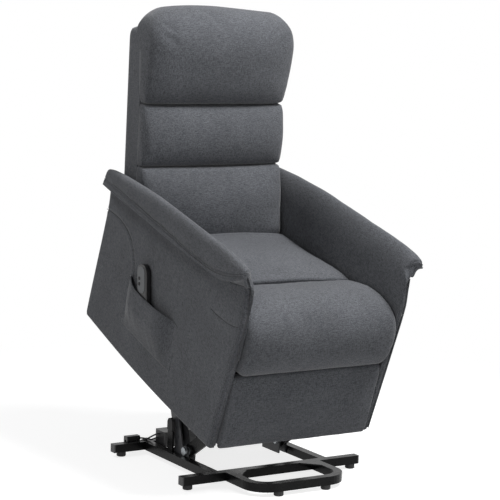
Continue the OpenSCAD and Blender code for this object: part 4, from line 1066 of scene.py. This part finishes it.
class HandsetCase(bpy.types.Operator):
    """Moulds the handset's rounded case"""
    bl_idname = "lift_recliner.handset_case"
    bl_label = "Handset case"

    def execute(self, context):
        half, low, high, front, rear = 27.4, 0.2, 149.8, -17.9, -0.1
        bm = bmesh.new()
        disc = bmesh.ops.create_circle(bm, cap_ends=True, radius=1, segments=96)
        for vert in disc["verts"]:
            angle = math.atan2(vert.co.y, vert.co.x)
            cy, cz = math.cos(angle), math.sin(angle)
            corner = 25.5 if cz > 0 else 14
            y = math.copysign(half - corner, cy) + corner * cy
            z = (high - corner if cz > 0 else low + corner) + corner * cz
            vert.co = Vector((front, y, z))
        for vert in extruded(bm):
            vert.co.x = rear
        bmesh.ops.recalc_face_normals(bm, faces=bm.faces)
        rims = [e for e in bm.edges if e.calc_face_angle(0) > 1.2]
        bmesh.ops.bevel(
            bm, geom=rims, offset=3.2, segments=5, profile=0.5, affect="EDGES", material=-1
        )
        place_piece(
            "handset_case", bm, HANDSET, "black_plastic", "handset_body",
            ("handset",)
        )
        return {"FINISHED"}


class HandsetFace(bpy.types.Operator):
    """Fits the handset's grey face, with its openings for the two buttons"""
    bl_idname = "lift_recliner.handset_face"
    bl_label = "Handset face"

    def execute(self, context):
        half, low, high, corner, front, rear = 20.5, 66, 143, 18.5, -18.9, -18.05
        bm = bmesh.new()
        disc = bmesh.ops.create_circle(bm, cap_ends=True, radius=1, segments=64)
        for vert in disc["verts"]:
            angle = math.atan2(vert.co.y, vert.co.x)
            cx, cy = math.cos(angle), math.sin(angle)
            y = math.copysign(half - corner, cx) + corner * cx
            z = (low + high) / 2 + math.copysign((high - low) / 2 - corner, cy) + corner * cy
            vert.co = Vector((rear, y, z))
        for vert in extruded(bm):
            vert.co.x = front
        bmesh.ops.recalc_face_normals(bm, faces=bm.faces)
        piece = place_piece(
            "handset_face", bm, HANDSET, "grey_plastic", "handset_body",
            smooth=False
        )
        cutters = []
        for z in BUTTON_HEIGHTS:
            tool = bmesh.new()
            bmesh.ops.create_cone(
                tool, cap_ends=True, radius1=5.6, radius2=5.6, depth=8, segments=40,
                matrix=Matrix.Translation((-18, 12, z)) @ Matrix.Rotation(math.pi / 2, 4, "Y")
            )
            cutter = put_in_scene("button_opening", mesh_from("button_opening", tool, HANDSET))
            cutters.append(cutter)
            cut = piece.modifiers.new("Opening", "BOOLEAN")
            cut.operation = "DIFFERENCE"
            cut.object = cutter
            cut.solver = "EXACT"
        depsgraph = bpy.context.evaluated_depsgraph_get()
        cut_mesh = bpy.data.meshes.new_from_object(piece.evaluated_get(depsgraph))
        piece.modifiers.clear()
        piece.data = cut_mesh
        for cutter in cutters:
            bpy.data.objects.remove(cutter)
        return {"FINISHED"}


# ---- Footrest ----

FOOTREST_SWELL = 4
FOOTREST = [
    (-4, 120), (-4, 40), (-4.2, 8), (-6, 4), (-10, 3), (-15, 5), (-19, 13), (-22, 32), (-24, 66),
    (-25, 115), (-25, 165), (-23.5, 200), (-20, 217), (-15, 225), (-10, 228), (-6, 227),
    (-4.2, 222), (-4, 190),
]
WRAP_HALF = (232, 104.5)
WRAP_MIDDLE = 115.5
WRAP_SECTION = [
    (11.6, -4.4), (11.8, 2), (11.4, 8), (10, 11.6), (7, 13.2), (0, 13.4), (-6, 13.4),
    (-6, 12.2), (0, 12.2), (6, 12.1), (9, 10), (9.6, 4), (9.6, -4.4),
]


class FootrestPad(bpy.types.Operator):
    """Covers the footrest panel and wraps its cloth round the board's edges"""
    bl_idname = "lift_recliner.footrest_pad"
    bl_label = "Footrest pad"

    def execute(self, context):
        rows = end_rows(FOOTREST_HALF, 9, 0.4, 44)
        shape = sausage(FOOTREST, (-12, 115), (14, 112), (1.0, 0.5, 0.5, 0.1))

        def point(share, row):
            p = shape(share, row)
            if p.y < -8:
                p.y += 1.3 * wander(p.x, 2, p.z, 110) + 1.2 * gather(p.x, p.z - 4, 17, 16, 9)
            return p

        bm = rolled_cover(96, rows, point)
        sewn = [
            max(limited((v.co.y + 12) / 5), math.exp(-(FOOTREST_HALF - abs(v.co.x)) / 8),
                math.exp(-max(0.0, min(v.co.z - 3, 228 - v.co.z)) / 8))
            for v in bm.verts
        ]
        piece = place_cover("footrest_cover", bm, CHAIR, "footrest_panel", ("footrest_pad",))
        fill_cover(piece, sewn, FOOTREST_SWELL * MILLIMETRE)

        edge = bmesh.new()
        bmesh.ops.create_grid(edge, x_segments=96, y_segments=len(WRAP_SECTION), size=1)
        for vert in edge.verts:
            turn = math.pi * (vert.co.x + 1)
            out, depth = WRAP_SECTION[
                round((vert.co.y + 1) / 2 * len(WRAP_SECTION)) % len(WRAP_SECTION)
            ]
            corner = max(1.0, out + 3)
            cx, cz = math.cos(turn), math.sin(turn)
            half_x = WRAP_HALF[0] + out - corner
            half_z = WRAP_HALF[1] + 0.62 * out - corner
            vert.co = Vector((
                math.copysign(half_x, cx) + corner * cx, depth,
                WRAP_MIDDLE + math.copysign(half_z, cz) + corner * cz
            ))
        bmesh.ops.remove_doubles(edge, verts=edge.verts, dist=0.02)
        bmesh.ops.recalc_face_normals(edge, faces=edge.faces)
        wrap = place_cover("footrest_cover_edge", edge, CHAIR, "footrest_panel")
        return {"FINISHED"}


# ---- Leads ----

LEADS = (
    ("upper_supply_lead", (
        (-165, 385, 66), (-171, 385, 66), (-178, 390, 62), (-184, 406, 52), (-184, 424, 43.5),
        (-187, 440, 42), (-193, 446, 42), (-200, 446, 42),
    )),
    ("lower_supply_lead", (
        (-165, 392, 52), (-171, 392, 52), (-176, 399, 48), (-177.5, 412, 43), (-177.5, 428, 42.5),
        (-179, 442, 40), (-185, 450, 34), (-193, 452, 31), (-200, 452, 31),
    )),
)
MIDDLE_Y = 198.3


class SupplyLeads(bpy.types.Operator):
    """Lays the two leads from the control box to the power inlet"""
    bl_idname = "lift_recliner.supply_leads"
    bl_label = "Supply leads"

    def execute(self, context):
        pieces = []
        for name, route in LEADS:
            path = smooth_points([(x, y - MIDDLE_Y, z) for x, y, z in route], 4)
            curve = round_line(name, [Vector(p) * MILLIMETRE for p in path], 0.0025, 4)
            curve.materials.append(finish("lead"))
            lead = put_in_scene(name, curve)
            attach(lead, "base")
            length = sum(
                (Vector(b) - Vector(a)).length for a, b in zip(path, path[1:])
            ) * MILLIMETRE
            tuple(Vector(path[0]) * MILLIMETRE)
            pieces.append(lead)
        for lead in pieces:
            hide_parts("supply_leads")
        return {"FINISHED"}


# ---- Finishes of the frame's own parts ----

class FrameFinishes(bpy.types.Operator):
    """Gives the steel, plastic, rubber and wooden parts their finishes"""
    bl_idname = "lift_recliner.frame_finishes"
    bl_label = "Frame finishes"

    def execute(self, context):
        for nodes, key in (
            (STEEL_NODES, "black_steel"), (GREY_NODES, "grey_steel"), (ZINC_NODES, "zinc"),
            (MOULDED_NODES, "black_plastic"), (RUBBER_NODES, "rubber"), (WOOD_NODES, "wood"),
        ):
            for name in nodes:
                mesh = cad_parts[name].data
                mesh.materials.clear()
                mesh.materials.append(finish(key))
        return {"FINISHED"}


# ---- Stage ----

CAMERA_AIM = Vector((0, -0.0521, 0.64775))


def area_light(name, place, aim, size, power, colour):
    """A soft box at a place, turned towards aim."""
    light = bpy.data.lights.new(name, "AREA")
    light.shape = "DISK"
    light.size = size
    light.energy = power
    light.color = colour[:3]
    holder = put_in_scene(name, light)
    holder.location = place
    holder.rotation_euler = (Vector(place) - Vector(aim)).to_track_quat("Z", "Y").to_euler()


def set_camera(scene, view):
    """Sets the camera at the angles and the distance of the view."""
    azimuth, elevation, roll = (math.radians(a) for a in view.camera_angles)
    back = Vector((
        math.sin(azimuth) * math.cos(elevation), -math.cos(azimuth) * math.cos(elevation),
        math.sin(elevation)
    ))
    right = Vector((math.cos(azimuth), math.sin(azimuth), 0))
    up = back.cross(right)
    across = math.cos(roll) * right + math.sin(roll) * up
    above = -math.sin(roll) * right + math.cos(roll) * up
    camera = bpy.data.cameras.new("camera")
    camera.lens = view.lens
    camera.sensor_width = 36
    camera.shift_x = -0.0064
    camera.clip_end = 100
    holder = put_in_scene("camera", camera)
    matrix = Matrix((across, above, back)).transposed().to_4x4()
    matrix.translation = CAMERA_AIM + back * view.camera_distance
    holder.matrix_world = matrix
    scene.camera = holder


class Stage(bpy.types.Operator):
    """Sets the pale floor, the soft studio light and the camera"""
    bl_idname = "lift_recliner.stage"
    bl_label = "Stage"

    def execute(self, context):
        scene = context.scene
        scene.view_settings.view_transform = "Standard"
        bm = bmesh.new()
        bmesh.ops.create_grid(bm, x_segments=8, y_segments=8, size=14)
        mesh = mesh_from("studio_floor", bm, Matrix())
        mesh.materials.append(studio_floor("studio_paper", linear("#bcbcbc")))
        floor = put_in_scene("studio_floor", mesh)

        world = bpy.data.worlds.new("studio")
        scene.world = world
        world.use_nodes = True
        tree = world.node_tree
        tree.nodes.clear()
        direct = seen_directly(tree)
        soft = add(tree, "ShaderNodeBackground", {"Color": linear("#f2f4f7"), "Strength": 0.13})
        white = add(tree, "ShaderNodeBackground", {"Color": (1, 1, 1, 1), "Strength": 1.0})
        mixed = add(tree, "ShaderNodeMixShader", links={0: direct, 1: soft, 2: white})
        add(tree, "ShaderNodeOutputWorld", links={"Surface": mixed})

        area_light("key", (-3.1, -3.0, 0.95), (0, -0.1, 0.7), 1.4, 31, linear("#fffdf9"))
        area_light("rim", (-1.5, 0.9, 3.1), (0, -0.1, 0.7), 0.9, 20, linear("#ffffff"))
        area_light("fill", (2.6, -2.6, 1.4), (0, 0, 0.6), 2.2, 5, linear("#f6f9ff"))
        area_light("top", (0.85, -1.45, 3.6), (0, -0.1, 0.6), 1.3, 138, linear("#ffffff"))

        set_camera(scene, scene.lift_recliner)
        return {"FINISHED"}


# ---- Settings, panel and registration ----

class LiftReclinerSettings(bpy.types.PropertyGroup):
    """Sizes and colours of the chair's upholstery and of the view"""
    cloth_pale: FloatVectorProperty(
        name="Pale yarn", description="Colour of the cloth's pale yarn", subtype="COLOR",
        size=3, min=0, max=1, default=linear("#66686d")[:3]
    )
    cloth_dark: FloatVectorProperty(
        name="Dark yarn", description="Colour of the cloth's dark yarn", subtype="COLOR",
        size=3, min=0, max=1, default=linear("#404246")[:3]
    )
    yarn: FloatProperty(
        name="Yarn", description="Drawn width of a yarn in millimetres", default=1.5, min=0.5,
        max=6
    )
    slub: FloatProperty(
        name="Slub", description="Length of a thick place in a yarn in millimetres", default=12,
        min=3, max=60
    )
    swell: FloatProperty(
        name="Swell", description="Most that a filled cover may swell, in millimetres",
        default=9, min=0, max=20
    )
    panel_swell: FloatProperty(
        name="Panel swell", description="Padding on the side panels in millimetres", default=3,
        min=0, max=6
    )
    cover_points: IntProperty(
        name="Cover points", description="Points round a cushion's cover", default=120, min=48,
        max=240
    )
    camera_angles: FloatVectorProperty(
        name="Camera angles", description="Azimuth, elevation and roll in degrees", size=3,
        default=(-31.997, 7.8908, 1.7653)
    )
    camera_distance: FloatProperty(
        name="Camera distance", description="Distance of the camera from the chair",
        default=5.34961, min=1, unit="LENGTH"
    )
    lens: FloatProperty(
        name="Lens", description="Focal length in millimetres", default=132.763, min=20
    )


# In the order in which they are made
PIECES = (
    Stage, SupplyLeads, FrameFinishes, BackCushions, BackShell, Seat, Arms, SidePanels,
    RearSkirt, HandsetPocket, HandsetCase, HandsetFace, FootrestPad,
)


class LiftReclinerPanel(bpy.types.Panel):
    """Lists the chair's pieces and its settings"""
    bl_idname = "VIEW3D_PT_lift_recliner"
    bl_label = "Lift Recliner"
    bl_space_type = "VIEW_3D"
    bl_region_type = "UI"
    bl_category = "Lift Recliner"

    def draw(self, context):
        settings = context.scene.lift_recliner
        for name in LiftReclinerSettings.__annotations__:
            self.layout.prop(settings, name)
        for piece in PIECES:
            self.layout.operator(piece.bl_idname)


CLASSES = (LiftReclinerSettings,) + PIECES + (LiftReclinerPanel,)


def register():
    """Registers the classes and the scene's settings."""
    for part in CLASSES:
        bpy.utils.register_class(part)
    bpy.types.Scene.lift_recliner = PointerProperty(type=LiftReclinerSettings)


def unregister():
    """Removes what register added."""
    del bpy.types.Scene.lift_recliner
    for part in reversed(CLASSES):
        bpy.utils.unregister_class(part)


def main():
    """Builds the chair and its stage."""
    register()
    bpy.ops.lift_recliner.stage()
    bpy.ops.lift_recliner.supply_leads()
    bpy.ops.lift_recliner.frame_finishes()
    bpy.ops.lift_recliner.back_cushions()
    bpy.ops.lift_recliner.back_shell()
    bpy.ops.lift_recliner.seat()
    bpy.ops.lift_recliner.arms()
    bpy.ops.lift_recliner.side_panels()
    bpy.ops.lift_recliner.rear_skirt()
    bpy.ops.lift_recliner.handset_pocket()
    bpy.ops.lift_recliner.handset_case()
    bpy.ops.lift_recliner.handset_face()
    bpy.ops.lift_recliner.footrest_pad()


if __name__ == "__main__":
    main()
